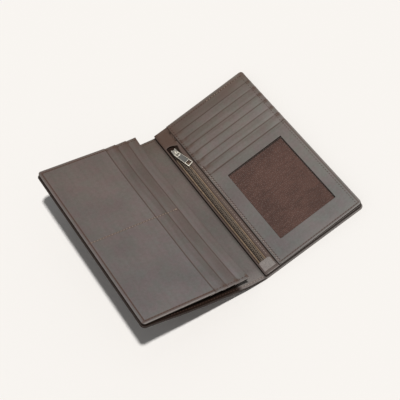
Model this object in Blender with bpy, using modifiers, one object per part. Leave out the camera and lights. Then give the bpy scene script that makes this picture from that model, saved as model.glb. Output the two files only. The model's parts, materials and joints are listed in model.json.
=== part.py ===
"""A long leather wallet, open like a book, with card slots, an identity window and a zipped coin pocket.

Metres, +Z up. X runs across the open wallet, from the raised left half to the right half, which lies flat.
Y runs along the spine. The origin is the middle of the right half's resting face.
Each folding piece is built flat in the frame of its own crease, and empties on the creases fold it.
"""

import math

import bmesh
import bpy
from mathutils import Matrix, Vector

MM = 0.001

# Overall sizes of the cover
LENGTH = 196.0 * MM
RIGHT_WIDTH = 108.0 * MM
SPINE_WIDTH = 18.6 * MM
LEFT_WIDTH = 108.0 * MM
CORNER_RADIUS = 4.0 * MM
INNER_CORNER_RADIUS = 1.2 * MM

# Angles of the open wallet, each from the flat state, and how far the creases and hinges go
SPINE_ANGLE = math.radians(19.5)
LEFT_ANGLE = math.radians(10.7)
PAGE_ANGLE = math.radians(5.3)
CREASE_CLOSED = math.radians(90.0)
PAGE_OPENING = math.radians(70.0)
PULL_SWING = math.radians(170.0)

# Thickness of the layers, and the air between two of them
COVER_THICKNESS = 1.2 * MM
LINING_THICKNESS = 0.5 * MM
LEATHER_THICKNESS = 0.6 * MM
BASE_THICKNESS = 0.5 * MM
LAYER_GAP = 0.3 * MM
CREASE_GAP = 0.3 * MM
EDGE_INSET = 0.8 * MM

# The coin pocket: its bag, and the leather panel that holds the zip
BAG_WALL = 0.35 * MM
BAG_HEIGHT = 2.3 * MM
BAG_SIDE_MARGIN = 1.2 * MM
ZIP_PANEL_THICKNESS = 1.0 * MM
ZIP_PANEL_RIM = 1.6 * MM

# The zip: where it lies, its opening, tapes and teeth
ZIP_FROM_FOLD = 7.1 * MM
ZIP_OPENING_WIDTH = 7.8 * MM
ZIP_FAR_MARGIN = 21.7 * MM
ZIP_NEAR_MARGIN = 6.4 * MM
TAPE_THICKNESS = 0.4 * MM
LEFT_TAPE_WIDTH = 0.7 * MM
RIGHT_TAPE_WIDTH = 4.0 * MM
TAPE_END_MARGIN = 2.7 * MM
CORD_WIDTH = 0.8 * MM
CORD_FROM_CENTRE = 1.5 * MM
TOOTH_PITCH = 2.2 * MM
TOOTH_THICKNESS = 1.5 * MM
TOOTH_CLEARANCE = 0.3 * MM
TOOTH_PAST_CENTRE = 0.8 * MM
TOOTH_NECK_SHARE = 0.7
TOOTH_TIP_SHARE = 0.5
TOOTH_HEAD_LENGTH = 0.9 * MM
TOOTH_TIP_LENGTH = 0.3 * MM
STOP_LENGTH = 1.3 * MM
STOP_HEIGHT = 1.9 * MM
STOP_WIDTH = 1.1 * MM
STOP_END_CLEARANCE = 0.3 * MM
CHAIN_FAR_MARGIN = 5.0 * MM

# The leather tab over the near end of the zip
TAB_WIDTH = 12.2 * MM
TAB_LENGTH = 10.5 * MM
TAB_NEAR_MARGIN = 6.0 * MM
TAB_THICKNESS = 0.4 * MM
TAB_CORNER = 2.4 * MM

# The slider
SLIDER_LENGTH = 10.0 * MM
SLIDER_WIDTH = 7.0 * MM
SLIDER_NOSE_WIDTH = 5.2 * MM
SLIDER_SHOULDER = 3.4 * MM
SLIDER_TOP_THICKNESS = 1.15 * MM
SLIDER_BASE_THICKNESS = 0.4 * MM
SLIDER_BASE_NARROWER = 0.4 * MM
SLIDER_FLANGE_WIDTH = 0.7 * MM
SLIDER_FLANGE_OVERLAP = 0.1 * MM
SLIDER_CLEARANCE = 0.3 * MM
SLIDER_TAB_CLEARANCE = 0.5 * MM
SLIDER_EDGE = 0.25 * MM
BRIDGE_WIDTH = 1.6 * MM
BRIDGE_WALL = 0.8 * MM
BRIDGE_LEG = 1.2 * MM
BRIDGE_HALF_GAP = 1.3 * MM
BRIDGE_RISE = 1.8 * MM
BRIDGE_CHAMFER = 0.6 * MM
BRIDGE_SUNK = 0.3 * MM

# The pull, how far it is turned aside, and how far its pivot lies from the slider's middle
PULL_LENGTH = 20.5 * MM
PULL_WIDTH = 7.0 * MM
PULL_THICKNESS = 1.2 * MM
PULL_BAR = 1.2 * MM
PULL_CORNER = 1.1 * MM
PULL_EYE_WIDTH = 3.4 * MM
PULL_EYE_REACH = 3.3 * MM
PULL_HOLE_WIDTH = 3.8 * MM
PULL_HOLE_LENGTH = 3.2 * MM
PULL_HOLE_FROM_TIP = 1.4 * MM
PULL_RIM = 1.0 * MM
PULL_RECESS = 0.28 * MM
PULL_TURN = math.radians(13.0)
PIVOT_OFFSET = 1.0 * MM

# The right half's card slots and identity window
CARD_PANEL_FROM_FOLD = 15.9 * MM
SLOT_COUNT = 6
FIRST_SLOT = 15.5 * MM
SLOT_PITCH = 10.13 * MM
STRIP_LENGTH = 15.0 * MM
FAR_STRIP_DEPTH = 19.0 * MM
WINDOW_INNER_MARGIN = 15.9 * MM
WINDOW_OUTER_MARGIN = 14.4 * MM
WINDOW_NEAR_MARGIN = 20.2 * MM
WINDOW_FAR_MARGIN = 12.0 * MM
WINDOW_CORNER = 0.8 * MM
WINDOW_OVERLAP = 6.0 * MM
WINDOW_FILM_THICKNESS = 0.3 * MM
PANEL_RIM = 1.4 * MM

# The left page and its card slots
PAGE_WIDTH = 104.8 * MM
PAGE_INSET = 0.5 * MM
PAGE_FIRST_SLOT = 10.9 * MM
PAGE_SLOT_PITCH = 11.7 * MM
PAGE_STRIP_COUNT = 2
PAGE_STRIP_LENGTH = 17.0 * MM
EDGE_STRIP_DEPTH = 15.0 * MM
PAGE_LINING_INSET = 1.0 * MM

# How finely curves are cut, and how far a cutter runs past what it cuts
CORNER_SEGMENTS = 5
EDGE_SEGMENTS = 2
OVERRUN = 2.0 * MM
WELD = 0.001 * MM

# Heights that follow from the layers, measured from the face that the wallet rests on
CREASE_HEIGHT = COVER_THICKNESS + LAYER_GAP + LINING_THICKNESS
BAG_LOW = CREASE_HEIGHT + LAYER_GAP
BAG_HIGH = BAG_LOW + BAG_HEIGHT
ZIP_PANEL_LOW = BAG_HIGH + LAYER_GAP
ZIP_PANEL_HIGH = ZIP_PANEL_LOW + ZIP_PANEL_THICKNESS
TAPE_HIGH = BAG_HIGH
TAPE_LOW = TAPE_HIGH - TAPE_THICKNESS
CORD_OUTER = CORD_FROM_CENTRE + CORD_WIDTH
ZIP_HEIGHT = TAPE_HIGH - TAPE_THICKNESS / 2
TOOTH_LOW = ZIP_HEIGHT - TOOTH_THICKNESS / 2
TOOTH_HIGH = ZIP_HEIGHT + TOOTH_THICKNESS / 2
CARD_BASE_LOW = ZIP_PANEL_HIGH + LAYER_GAP
CARD_BASE_HIGH = CARD_BASE_LOW + BASE_THICKNESS
STEP_HEIGHT = LEATHER_THICKNESS + LAYER_GAP
STRIP_SLOPE = math.atan2(STEP_HEIGHT, SLOT_PITCH)
CARD_TOP = CARD_BASE_HIGH + LAYER_GAP + STRIP_LENGTH * math.sin(STRIP_SLOPE) + LEATHER_THICKNESS

# Places along the spine
NEAR_END = -LENGTH / 2
FAR_END = LENGTH / 2
FOLD_X = -RIGHT_WIDTH / 2
ZIP_X = FOLD_X + ZIP_FROM_FOLD
ZIP_NEAR = NEAR_END + ZIP_NEAR_MARGIN
ZIP_FAR = FAR_END - ZIP_FAR_MARGIN
TAB_NEAR = NEAR_END + TAB_NEAR_MARGIN
TAB_FAR = TAB_NEAR + TAB_LENGTH
STOP_FAR = ZIP_FAR - CHAIN_FAR_MARGIN
STOP_NEAR = STOP_FAR - STOP_LENGTH
SLIDER_Y = STOP_NEAR - STOP_END_CLEARANCE - SLIDER_LENGTH / 2
SLIDER_TRAVEL = SLIDER_Y - SLIDER_LENGTH / 2 - TAB_FAR - SLIDER_TAB_CLEARANCE
TEETH_NEAR = ZIP_NEAR + STOP_LENGTH + 2 * STOP_END_CLEARANCE
TEETH_FAR = STOP_NEAR - STOP_END_CLEARANCE
LEFT_TAPE = (ZIP_X - CORD_OUTER - LAYER_GAP - LEFT_TAPE_WIDTH, ZIP_X - CORD_OUTER - LAYER_GAP)
RIGHT_TAPE = (ZIP_X + CORD_OUTER + LAYER_GAP, ZIP_X + CORD_OUTER + LAYER_GAP + RIGHT_TAPE_WIDTH)
TAPE_Y = (ZIP_NEAR - TAPE_END_MARGIN, ZIP_FAR + TAPE_END_MARGIN)
WINDOW_PANEL_FAR = FAR_END - FIRST_SLOT - SLOT_COUNT * SLOT_PITCH
SLIDER_TOP_LOW = TOOTH_HIGH + SLIDER_CLEARANCE
SLIDER_TOP_HIGH = SLIDER_TOP_LOW + SLIDER_TOP_THICKNESS
PIVOT_HEIGHT = SLIDER_TOP_HIGH + BRIDGE_RISE / 2

# Colours and finishes: base colour, metallic, roughness
LEATHER_LOOK = ((0.155, 0.130, 0.113), 0.0, 0.52)
LINING_LOOK = ((0.120, 0.100, 0.088), 0.0, 0.6)
FABRIC_LOOK = ((0.110, 0.052, 0.042), 0.0, 0.85)
TAPE_LOOK = ((0.230, 0.150, 0.085), 0.0, 0.8)
TEETH_LOOK = ((0.210, 0.180, 0.150), 0.9, 0.42)
SILVER_LOOK = ((0.560, 0.530, 0.480), 1.0, 0.3)
FILM_LOOK = ((0.800, 0.800, 0.800), 0.0, 0.15)


def clear_scene():
    """Remove whatever the scene already holds."""
    for thing in list(bpy.data.objects):
        bpy.data.objects.remove(thing, do_unlink=True)


def new_collection(name):
    """Add a collection to the scene."""
    collection = bpy.data.collections.new(name)
    bpy.context.scene.collection.children.link(collection)
    return collection


clear_scene()
PARTS = new_collection("leather_wallet")
CUTTERS = new_collection("cutters")
CUTTERS.hide_render = True


def new_material(name, look):
    """Make a plain surface of one colour, shine and roughness."""
    colour, metallic, roughness = look
    material = bpy.data.materials.new(name + "_surface")
    material.use_nodes = True
    surface = material.node_tree.nodes["Principled BSDF"]
    surface.inputs["Base Color"].default_value = (*colour, 1.0)
    surface.inputs["Metallic"].default_value = metallic
    surface.inputs["Roughness"].default_value = roughness
    return material


def new_frame(name, place, turn=(0.0, 0.0, 0.0), parent=None):
    """Add an empty that stands on a joint's axis."""
    frame = bpy.data.objects.new(name, None)
    frame.empty_display_size = CORNER_RADIUS
    frame.location = place
    frame.rotation_euler = turn
    frame.parent = parent
    PARTS.objects.link(frame)
    return frame


def note_reach(frame, low, high):
    """Keep with a joint how far it turns or slides from where it is now, in radians or metres."""
    frame["reach"] = (low, high)


def add_part(name, mesh, look, parent):
    """Give a mesh its object, its material and its place in the part."""
    part = bpy.data.objects.new(name, mesh)
    mesh.materials.append(new_material(name, look))
    part.parent = parent
    PARTS.objects.link(part)
    return part


def add_cutter(name, mesh, parent):
    """Add a hidden solid that only cuts or joins."""
    cutter = bpy.data.objects.new(name, mesh)
    cutter.parent = parent
    cutter.hide_render = True
    cutter.display_type = "WIRE"
    CUTTERS.objects.link(cutter)
    return cutter


def combine(part, cutter, operation):
    """Cut a part with another solid, or join the two."""
    boolean = part.modifiers.new(operation.lower() + "_" + cutter.name, "BOOLEAN")
    boolean.operation = operation
    boolean.solver = "EXACT"
    boolean.object = cutter


def soften(part, width, segments, limit="WEIGHT"):
    """Round the edges of a part: those with a bevel weight, or all the sharp ones."""
    bevel = part.modifiers.new("rounded", "BEVEL")
    bevel.width = width
    bevel.segments = segments
    bevel.limit_method = limit


def box_mesh(name, low, high):
    """A box between two corners."""
    low, high = Vector(low), Vector(high)
    size = high - low
    shape = bmesh.new()
    bmesh.ops.create_cube(shape, size=1.0)
    bmesh.ops.scale(shape, vec=size, verts=shape.verts)
    bmesh.ops.translate(shape, vec=(low + high) / 2, verts=shape.verts)
    mesh = bpy.data.meshes.new(name)
    shape.to_mesh(mesh)
    shape.free()
    return mesh


def weigh_corners(mesh, chosen):
    """Mark the upright edges whose middle the test chooses, so that a bevel rounds them."""
    weights = mesh.attributes.new("bevel_weight_edge", "FLOAT", "EDGE")
    for edge in mesh.edges:
        start, end = (mesh.vertices[v].co for v in edge.vertices)
        upright = (start - end).xy.length < WELD
        if upright and chosen((start + end) / 2):
            weights.data[edge.index].value = 1.0


def sheet(name, x_span, y_span, z_span, look, parent, rounded=None, radius=CORNER_RADIUS):
    """A flat piece of leather or cloth.

    The corners on the side that rounded gives are round: its signs along x and y, where zero takes both.
    """
    mesh = box_mesh(name, *zip(x_span, y_span, z_span))
    if rounded:
        middle = (sum(x_span) / 2, sum(y_span) / 2)
        weigh_corners(mesh, lambda at: all(side * (a - b) >= 0 for side, a, b in zip(rounded, at, middle)))
    part = add_part(name, mesh, look, parent)
    if rounded:
        soften(part, radius, CORNER_SEGMENTS)
    return part


def outline_mesh(name, outline, low, high):
    """A flat plate between two heights: the face inside an outline of (x, y) points, drawn upwards."""
    shape = bmesh.new()
    floor = shape.faces.new([shape.verts.new((x, y, low)) for x, y in outline])
    drawn = bmesh.ops.extrude_face_region(shape, geom=[floor])["geom"]
    roof = [part for part in drawn if isinstance(part, bmesh.types.BMVert)]
    bmesh.ops.translate(shape, vec=(0.0, 0.0, high - low), verts=roof)
    bmesh.ops.recalc_face_normals(shape, faces=shape.faces)
    mesh = bpy.data.meshes.new(name)
    shape.to_mesh(mesh)
    shape.free()
    return mesh


def rounded_rectangle(x_span, y_span, radius):
    """The outline of a rectangle with round corners."""
    centres = (
        (x_span[1] - radius, y_span[1] - radius, 0.0),
        (x_span[0] + radius, y_span[1] - radius, 0.5),
        (x_span[0] + radius, y_span[0] + radius, 1.0),
        (x_span[1] - radius, y_span[0] + radius, 1.5),
    )
    outline = []
    for x, y, start in centres:
        for step in range(CORNER_SEGMENTS + 1):
            angle = math.pi * (start + step / CORNER_SEGMENTS / 2)
            outline.append((x + radius * math.cos(angle), y + radius * math.sin(angle)))
    return outline


def turned_panel(name, x_span, y_span, z_span, open_axis, wall_end, parent, rounded):
    """A leather panel whose edges are turned down to the layer below.

    Its high side along open_axis (0 for x, 1 for y) stays open for cards. The turned edges stop at wall_end.
    """
    radius = CORNER_RADIUS - EDGE_INSET
    panel = sheet(name, x_span, y_span, z_span, LEATHER_LOOK, parent, rounded, radius)
    ceiling = z_span[1] - LEATHER_THICKNESS
    low = [x_span[0] + PANEL_RIM, y_span[0] + PANEL_RIM, z_span[0] - OVERRUN]
    high = [x_span[1] - PANEL_RIM, y_span[1] - PANEL_RIM, ceiling]
    high[open_axis] = wall_end + OVERRUN
    combine(panel, add_cutter(name + "_hollow", box_mesh(name + "_hollow", low, high), parent), "DIFFERENCE")
    low = [x_span[0] - OVERRUN, y_span[0] - OVERRUN, z_span[0] - OVERRUN]
    low[open_axis] = wall_end
    high = [x_span[1] + OVERRUN, y_span[1] + OVERRUN, ceiling]
    combine(panel, add_cutter(name + "_mouth", box_mesh(name + "_mouth", low, high), parent), "DIFFERENCE")
    return panel


def edge_strip_outline(edge, depth, first_slot, low, high):
    """The section of the strip at a panel's open edge, as (place, z).

    It is turned down to the base at the edge, and slopes inwards to pass under the first slot's strip.
    """
    fall = STEP_HEIGHT / first_slot
    return [
        (edge, low),
        (edge, high),
        (edge - depth, high - fall * depth),
        (edge - depth, high - fall * depth - LEATHER_THICKNESS),
        (edge - PANEL_RIM, high - fall * PANEL_RIM - LEATHER_THICKNESS),
        (edge - PANEL_RIM, low),
    ]


def cover_layers(prefix, x_span, side, parent):
    """The outer leather and the lining of one stretch of the cover, the lining's face at height zero."""
    y_span = (NEAR_END, FAR_END)
    lining_low = -LINING_THICKNESS
    cover_high = lining_low - LAYER_GAP
    cover_low = cover_high - COVER_THICKNESS
    sheet(prefix + "_cover", x_span, y_span, (cover_low, cover_high), LEATHER_LOOK, parent, side)
    sheet(prefix + "_lining", x_span, y_span, (lining_low, 0.0), LINING_LOOK, parent, side)


def build_covers(right, spine, left):
    """The right half, the spine and the left half of the cover, each in the frame of its own crease."""
    cover_layers("right", (CREASE_GAP, RIGHT_WIDTH), (1, 0), right)
    cover_layers("spine", (-SPINE_WIDTH + CREASE_GAP, -CREASE_GAP), None, spine)
    cover_layers("left", (-LEFT_WIDTH, -CREASE_GAP), (-1, 0), left)


def build_coin_bag(root):
    """The thin cloth bag of the coin pocket, open along the zip, where the tapes close it."""
    inset = EDGE_INSET + ZIP_PANEL_RIM + LAYER_GAP
    x_span = (FOLD_X + inset, FOLD_X + RIGHT_WIDTH - inset - BAG_SIDE_MARGIN)
    y_span = (NEAR_END + inset, FAR_END - inset)
    bag = sheet("coin_bag", x_span, y_span, (BAG_LOW, BAG_HIGH), FABRIC_LOOK, root)
    inside = box_mesh(
        "bag_inside",
        (x_span[0] + BAG_WALL, y_span[0] + BAG_WALL, BAG_LOW + BAG_WALL),
        (x_span[1] - BAG_WALL, y_span[1] - BAG_WALL, TAPE_LOW),
    )
    combine(bag, add_cutter("bag_inside", inside, root), "DIFFERENCE")
    mouth = box_mesh(
        "bag_mouth",
        (LEFT_TAPE[0] - LAYER_GAP, TAPE_Y[0] - LAYER_GAP, TAPE_LOW - LAYER_GAP),
        (RIGHT_TAPE[1] + LAYER_GAP, TAPE_Y[1] + LAYER_GAP, BAG_HIGH + OVERRUN),
    )
    combine(bag, add_cutter("bag_mouth", mouth, root), "DIFFERENCE")


def build_zip_panel(root):
    """The leather panel over the coin bag, turned down all round, with the long opening for the zip."""
    x_span = (FOLD_X + EDGE_INSET, FOLD_X + RIGHT_WIDTH - EDGE_INSET)
    y_span = (NEAR_END + EDGE_INSET, FAR_END - EDGE_INSET)
    radius = CORNER_RADIUS - EDGE_INSET
    panel = sheet("zip_panel", x_span, y_span, (BAG_LOW, ZIP_PANEL_HIGH), LEATHER_LOOK, root, (1, 0), radius)
    hollow = box_mesh(
        "panel_hollow",
        (x_span[0] + ZIP_PANEL_RIM, y_span[0] + ZIP_PANEL_RIM, BAG_LOW - OVERRUN),
        (x_span[1] - ZIP_PANEL_RIM, y_span[1] - ZIP_PANEL_RIM, ZIP_PANEL_LOW),
    )
    combine(panel, add_cutter("panel_hollow", hollow, root), "DIFFERENCE")
    half = ZIP_OPENING_WIDTH / 2
    opening = rounded_rectangle((ZIP_X - half, ZIP_X + half), (ZIP_NEAR, ZIP_FAR), INNER_CORNER_RADIUS)
    cutter = outline_mesh("zip_opening", opening, BAG_LOW - OVERRUN, ZIP_PANEL_HIGH + OVERRUN)
    combine(panel, add_cutter("zip_opening", cutter, root), "DIFFERENCE")


def tooth_outline(middle):
    """The outline of one tooth that points to +x: from its root out to its tip, and back."""
    half = (TOOTH_PITCH / 2 - TOOTH_CLEARANCE) / 2
    tip = CORD_FROM_CENTRE + TOOTH_PAST_CENTRE
    neck = tip - TOOTH_HEAD_LENGTH
    shoulder = tip - TOOTH_TIP_LENGTH
    side = (
        (0.0, half * TOOTH_NECK_SHARE),
        (neck, half * TOOTH_NECK_SHARE),
        (neck + TOOTH_TIP_LENGTH, half),
        (shoulder, half),
        (tip, half * TOOTH_TIP_SHARE),
    )
    low = [(x, middle - y) for x, y in side]
    high = [(x, middle + y) for x, y in reversed(side)]
    return low + high


def build_teeth(name, direction, offset, root):
    """One row of metal teeth on its cord: a comb that reaches past the middle, between the other's teeth."""
    count = int((TEETH_FAR - TEETH_NEAR - offset) / TOOTH_PITCH)
    outline = [(-CORD_WIDTH, TEETH_NEAR), (0.0, TEETH_NEAR)]
    for index in range(count):
        outline += tooth_outline(TEETH_NEAR + offset + (index + 0.5) * TOOTH_PITCH)
    outline += [(0.0, TEETH_FAR), (-CORD_WIDTH, TEETH_FAR)]
    places = [(ZIP_X + direction * (x - CORD_FROM_CENTRE), y) for x, y in outline]
    add_part(name, outline_mesh(name, places, TOOTH_LOW, TOOTH_HIGH), TEETH_LOOK, root)


def build_tapes(root):
    """The two woven tapes that carry the teeth and close the bag's mouth."""
    sheet("left_tape", LEFT_TAPE, TAPE_Y, (TAPE_LOW, TAPE_HIGH), TAPE_LOOK, root)
    sheet("right_tape", RIGHT_TAPE, TAPE_Y, (TAPE_LOW, TAPE_HIGH), TAPE_LOOK, root)


def build_stops(root):
    """The metal stops at the ends of the teeth: one on each tape at the far end, one across both near."""
    low = ZIP_HEIGHT - STOP_HEIGHT / 2
    high = ZIP_HEIGHT + STOP_HEIGHT / 2
    for name, direction in (("left_top_stop", -1), ("right_top_stop", 1)):
        x_span = sorted((ZIP_X + direction * (CORD_OUTER - STOP_WIDTH), ZIP_X + direction * CORD_OUTER))
        block = box_mesh(name, *zip(x_span, (STOP_NEAR, STOP_FAR), (low, high)))
        soften(add_part(name, block, SILVER_LOOK, root), SLIDER_EDGE, EDGE_SEGMENTS, "ANGLE")
    y_span = (ZIP_NEAR + STOP_END_CLEARANCE, ZIP_NEAR + STOP_END_CLEARANCE + STOP_LENGTH)
    bottom = box_mesh("bottom_stop", *zip((ZIP_X - CORD_OUTER, ZIP_X + CORD_OUTER), y_span, (low, high)))
    soften(add_part("bottom_stop", bottom, SILVER_LOOK, root), SLIDER_EDGE, EDGE_SEGMENTS, "ANGLE")


def build_end_tab(root):
    """The small leather tab sewn over the near end of the zip, with its far corners cut off."""
    half = TAB_WIDTH / 2
    middle = FOLD_X + EDGE_INSET + (CARD_PANEL_FROM_FOLD - LAYER_GAP - EDGE_INSET) / 2
    outline = [
        (middle - half, TAB_NEAR),
        (middle + half, TAB_NEAR),
        (middle + half, TAB_FAR - TAB_CORNER),
        (middle + half - TAB_CORNER, TAB_FAR),
        (middle - half + TAB_CORNER, TAB_FAR),
        (middle - half, TAB_FAR - TAB_CORNER),
    ]
    low = ZIP_PANEL_HIGH + LAYER_GAP
    tab = outline_mesh("zip_end_tab", outline, low, low + TAB_THICKNESS)
    add_part("zip_end_tab", tab, LEATHER_LOOK, root)


def slider_outline(narrower):
    """The slider's plan: full width at the far shoulders, narrowing to the near end."""
    half = SLIDER_WIDTH / 2 - narrower
    nose = SLIDER_NOSE_WIDTH / 2 - narrower
    far = SLIDER_LENGTH / 2 - narrower
    return [
        (-nose, -far),
        (nose, -far),
        (half, -far + SLIDER_SHOULDER),
        (half, far - SLIDER_FLANGE_WIDTH),
        (half - SLIDER_FLANGE_WIDTH, far),
        (-half + SLIDER_FLANGE_WIDTH, far),
        (-half, far - SLIDER_FLANGE_WIDTH),
        (-half, -far + SLIDER_SHOULDER),
    ]


def flange(name, direction, narrower, low, high, slider):
    """One of the slider's side lips, over or under a tape."""
    half = SLIDER_WIDTH / 2 - narrower
    far = SLIDER_LENGTH / 2 - narrower - SLIDER_FLANGE_WIDTH
    x_span = sorted((direction * (half - SLIDER_FLANGE_WIDTH), direction * half))
    return add_cutter(name, box_mesh(name, *zip(x_span, (-far + SLIDER_SHOULDER, far), (low, high))), slider)


def bridge_outline():
    """The bridge seen from the side, as (y, z): an arch with cut corners, open below for the pull's bar."""
    inner = BRIDGE_HALF_GAP
    outer = inner + BRIDGE_LEG
    foot = SLIDER_TOP_HIGH - BRIDGE_SUNK
    soffit = SLIDER_TOP_HIGH + BRIDGE_RISE
    crown = soffit + BRIDGE_WALL
    return [
        (-outer, foot),
        (-inner, foot),
        (-inner, soffit),
        (inner, soffit),
        (inner, foot),
        (outer, foot),
        (outer, crown - BRIDGE_CHAMFER),
        (outer - BRIDGE_CHAMFER, crown),
        (-outer + BRIDGE_CHAMFER, crown),
        (-outer, crown - BRIDGE_CHAMFER),
    ]


def build_slider(slider):
    """The slider above the teeth, with its bridge, and its base plate below them.

    The diamond post that joins them in the real slider parts the teeth as it goes. These teeth stay closed,
    so the post is left out, and the two plates ride on one body.
    """
    body = add_part(
        "slider_body",
        outline_mesh("slider_body", slider_outline(0.0), SLIDER_TOP_LOW, SLIDER_TOP_HIGH),
        SILVER_LOOK,
        slider,
    )
    soften(body, SLIDER_EDGE, EDGE_SEGMENTS, "ANGLE")
    lip_low = TAPE_HIGH + SLIDER_CLEARANCE
    lip_high = SLIDER_TOP_LOW + SLIDER_EDGE + SLIDER_FLANGE_OVERLAP
    combine(body, flange("left_lip", -1, SLIDER_EDGE, lip_low, lip_high, slider), "UNION")
    combine(body, flange("right_lip", 1, SLIDER_EDGE, lip_low, lip_high, slider), "UNION")
    arch = outline_mesh("bridge", bridge_outline(), -BRIDGE_WIDTH / 2, BRIDGE_WIDTH / 2)
    arch.transform(Matrix(((0, 0, 1, 0), (1, 0, 0, -PIVOT_OFFSET), (0, 1, 0, 0), (0, 0, 0, 1))))
    combine(body, add_cutter("bridge", arch, slider), "UNION")
    base_high = TOOTH_LOW - SLIDER_CLEARANCE
    base_low = base_high - SLIDER_BASE_THICKNESS
    base = add_part(
        "slider_base",
        outline_mesh("slider_base", slider_outline(SLIDER_BASE_NARROWER), base_low, base_high),
        SILVER_LOOK,
        slider,
    )
    lip_low = base_high - SLIDER_BASE_THICKNESS / 2
    lip_high = TAPE_LOW - SLIDER_CLEARANCE
    narrower = SLIDER_BASE_NARROWER + SLIDER_FLANGE_OVERLAP
    combine(base, flange("left_base_lip", -1, narrower, lip_low, lip_high, slider), "UNION")
    combine(base, flange("right_base_lip", 1, narrower, lip_low, lip_high, slider), "UNION")


def build_pull(pivot):
    """The pull: a flat bar with an eye round the bridge, a raised rim and a hole in its tip."""
    half = PULL_WIDTH / 2
    thick = PULL_THICKNESS / 2
    outer = rounded_rectangle((-half, half), (-PULL_LENGTH, PULL_BAR / 2), PULL_CORNER)
    eye = PULL_EYE_WIDTH / 2
    eye_low = -PULL_EYE_REACH
    hole = PULL_HOLE_WIDTH / 2
    hole_low = -PULL_LENGTH + PULL_HOLE_FROM_TIP
    hole_high = hole_low + PULL_HOLE_LENGTH
    pull = add_part("pull", outline_mesh("pull", outer, -thick, thick), SILVER_LOOK, pivot)
    for name, x_half, y_span in (
        ("pull_eye", eye, (eye_low, -PULL_BAR / 2)),
        ("pull_hole", hole, (hole_low, hole_high)),
    ):
        cutter = box_mesh(name, *zip((-x_half, x_half), y_span, (-thick - OVERRUN, thick + OVERRUN)))
        combine(pull, add_cutter(name, cutter, pivot), "DIFFERENCE")
    inner = half - PULL_RIM
    span = (hole_high + PULL_RIM, eye_low - PULL_RIM)
    for name, low, high in (
        ("upper_recess", thick - PULL_RECESS, thick + OVERRUN),
        ("lower_recess", -thick - OVERRUN, -thick + PULL_RECESS),
    ):
        recess = box_mesh(name, *zip((-inner, inner), span, (low, high)))
        combine(pull, add_cutter(name, recess, pivot), "DIFFERENCE")


def build_card_panel(root):
    """The right half's sewn panel: its base, six slot strips laid like shingles, and the identity window."""
    x_span = (FOLD_X + CARD_PANEL_FROM_FOLD, FOLD_X + RIGHT_WIDTH - EDGE_INSET)
    y_span = (NEAR_END + EDGE_INSET, FAR_END - EDGE_INSET)
    radius = CORNER_RADIUS - EDGE_INSET
    sheet("card_base", x_span, y_span, (CARD_BASE_LOW, CARD_BASE_HIGH), LINING_LOOK, root, (1, 0), radius)
    build_far_strip(x_span, y_span[1], radius, root)
    for index in range(SLOT_COUNT):
        mouth = new_frame(
            f"slot_mouth_{index + 1}",
            (0.0, FAR_END - FIRST_SLOT - index * SLOT_PITCH, CARD_TOP),
            (STRIP_SLOPE, 0.0, 0.0),
            root,
        )
        sheet(
            f"card_strip_{index + 1}",
            x_span,
            (-STRIP_LENGTH, 0.0),
            (-LEATHER_THICKNESS, 0.0),
            LEATHER_LOOK,
            mouth,
        )
    build_window(x_span, y_span[0], root)


def build_far_strip(x_span, far, radius, root):
    """The strip along the far end, beyond the first slot, with its outer corner rounded like the base's."""
    low = CARD_BASE_HIGH + LAYER_GAP
    outline = edge_strip_outline(far, FAR_STRIP_DEPTH, FIRST_SLOT - EDGE_INSET, low, CARD_TOP)
    mesh = outline_mesh("card_far_strip", outline, *x_span)
    mesh.transform(Matrix(((0, 0, 1, 0), (1, 0, 0, 0), (0, 1, 0, 0), (0, 0, 0, 1))))
    strip = add_part("card_far_strip", mesh, LEATHER_LOOK, root)
    plan_x = (x_span[0] - radius - OVERRUN, x_span[1])
    plan_y = (far - FAR_STRIP_DEPTH - radius - OVERRUN, far)
    plan = rounded_rectangle(plan_x, plan_y, radius)
    corner = outline_mesh("far_corner", plan, low - OVERRUN, CARD_TOP + OVERRUN)
    combine(strip, add_cutter("far_corner", corner, root), "INTERSECT")


def build_window(x_span, near, root):
    """The panel with the identity window, the clear film behind it, and the cloth that shows through."""
    y_span = (near, WINDOW_PANEL_FAR)
    z_span = (CARD_BASE_HIGH + LAYER_GAP, CARD_TOP)
    low = CARD_TOP - LEATHER_THICKNESS
    wall_end = WINDOW_PANEL_FAR + SLOT_PITCH - STRIP_LENGTH - LAYER_GAP
    panel = turned_panel("window_panel", x_span, y_span, z_span, 1, wall_end, root, (1, -1))
    window_x = (x_span[0] + WINDOW_INNER_MARGIN, x_span[1] - WINDOW_OUTER_MARGIN)
    window_y = (near + WINDOW_NEAR_MARGIN, WINDOW_PANEL_FAR - WINDOW_FAR_MARGIN)
    window = rounded_rectangle(window_x, window_y, WINDOW_CORNER)
    cutter = outline_mesh("window_hole", window, low - OVERRUN, CARD_TOP + OVERRUN)
    combine(panel, add_cutter("window_hole", cutter, root), "DIFFERENCE")
    under_x = (window_x[0] - WINDOW_OVERLAP, window_x[1] + WINDOW_OVERLAP)
    under_y = (window_y[0] - WINDOW_OVERLAP, window_y[1] + WINDOW_OVERLAP)
    film_high = low - LAYER_GAP
    film_low = film_high - WINDOW_FILM_THICKNESS
    sheet("window_film", under_x, under_y, (film_low, film_high), FILM_LOOK, root)
    lining_low = CARD_BASE_HIGH + LAYER_GAP
    sheet("window_lining", under_x, under_y, (lining_low, film_low - LAYER_GAP), FABRIC_LOOK, root)


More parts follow.
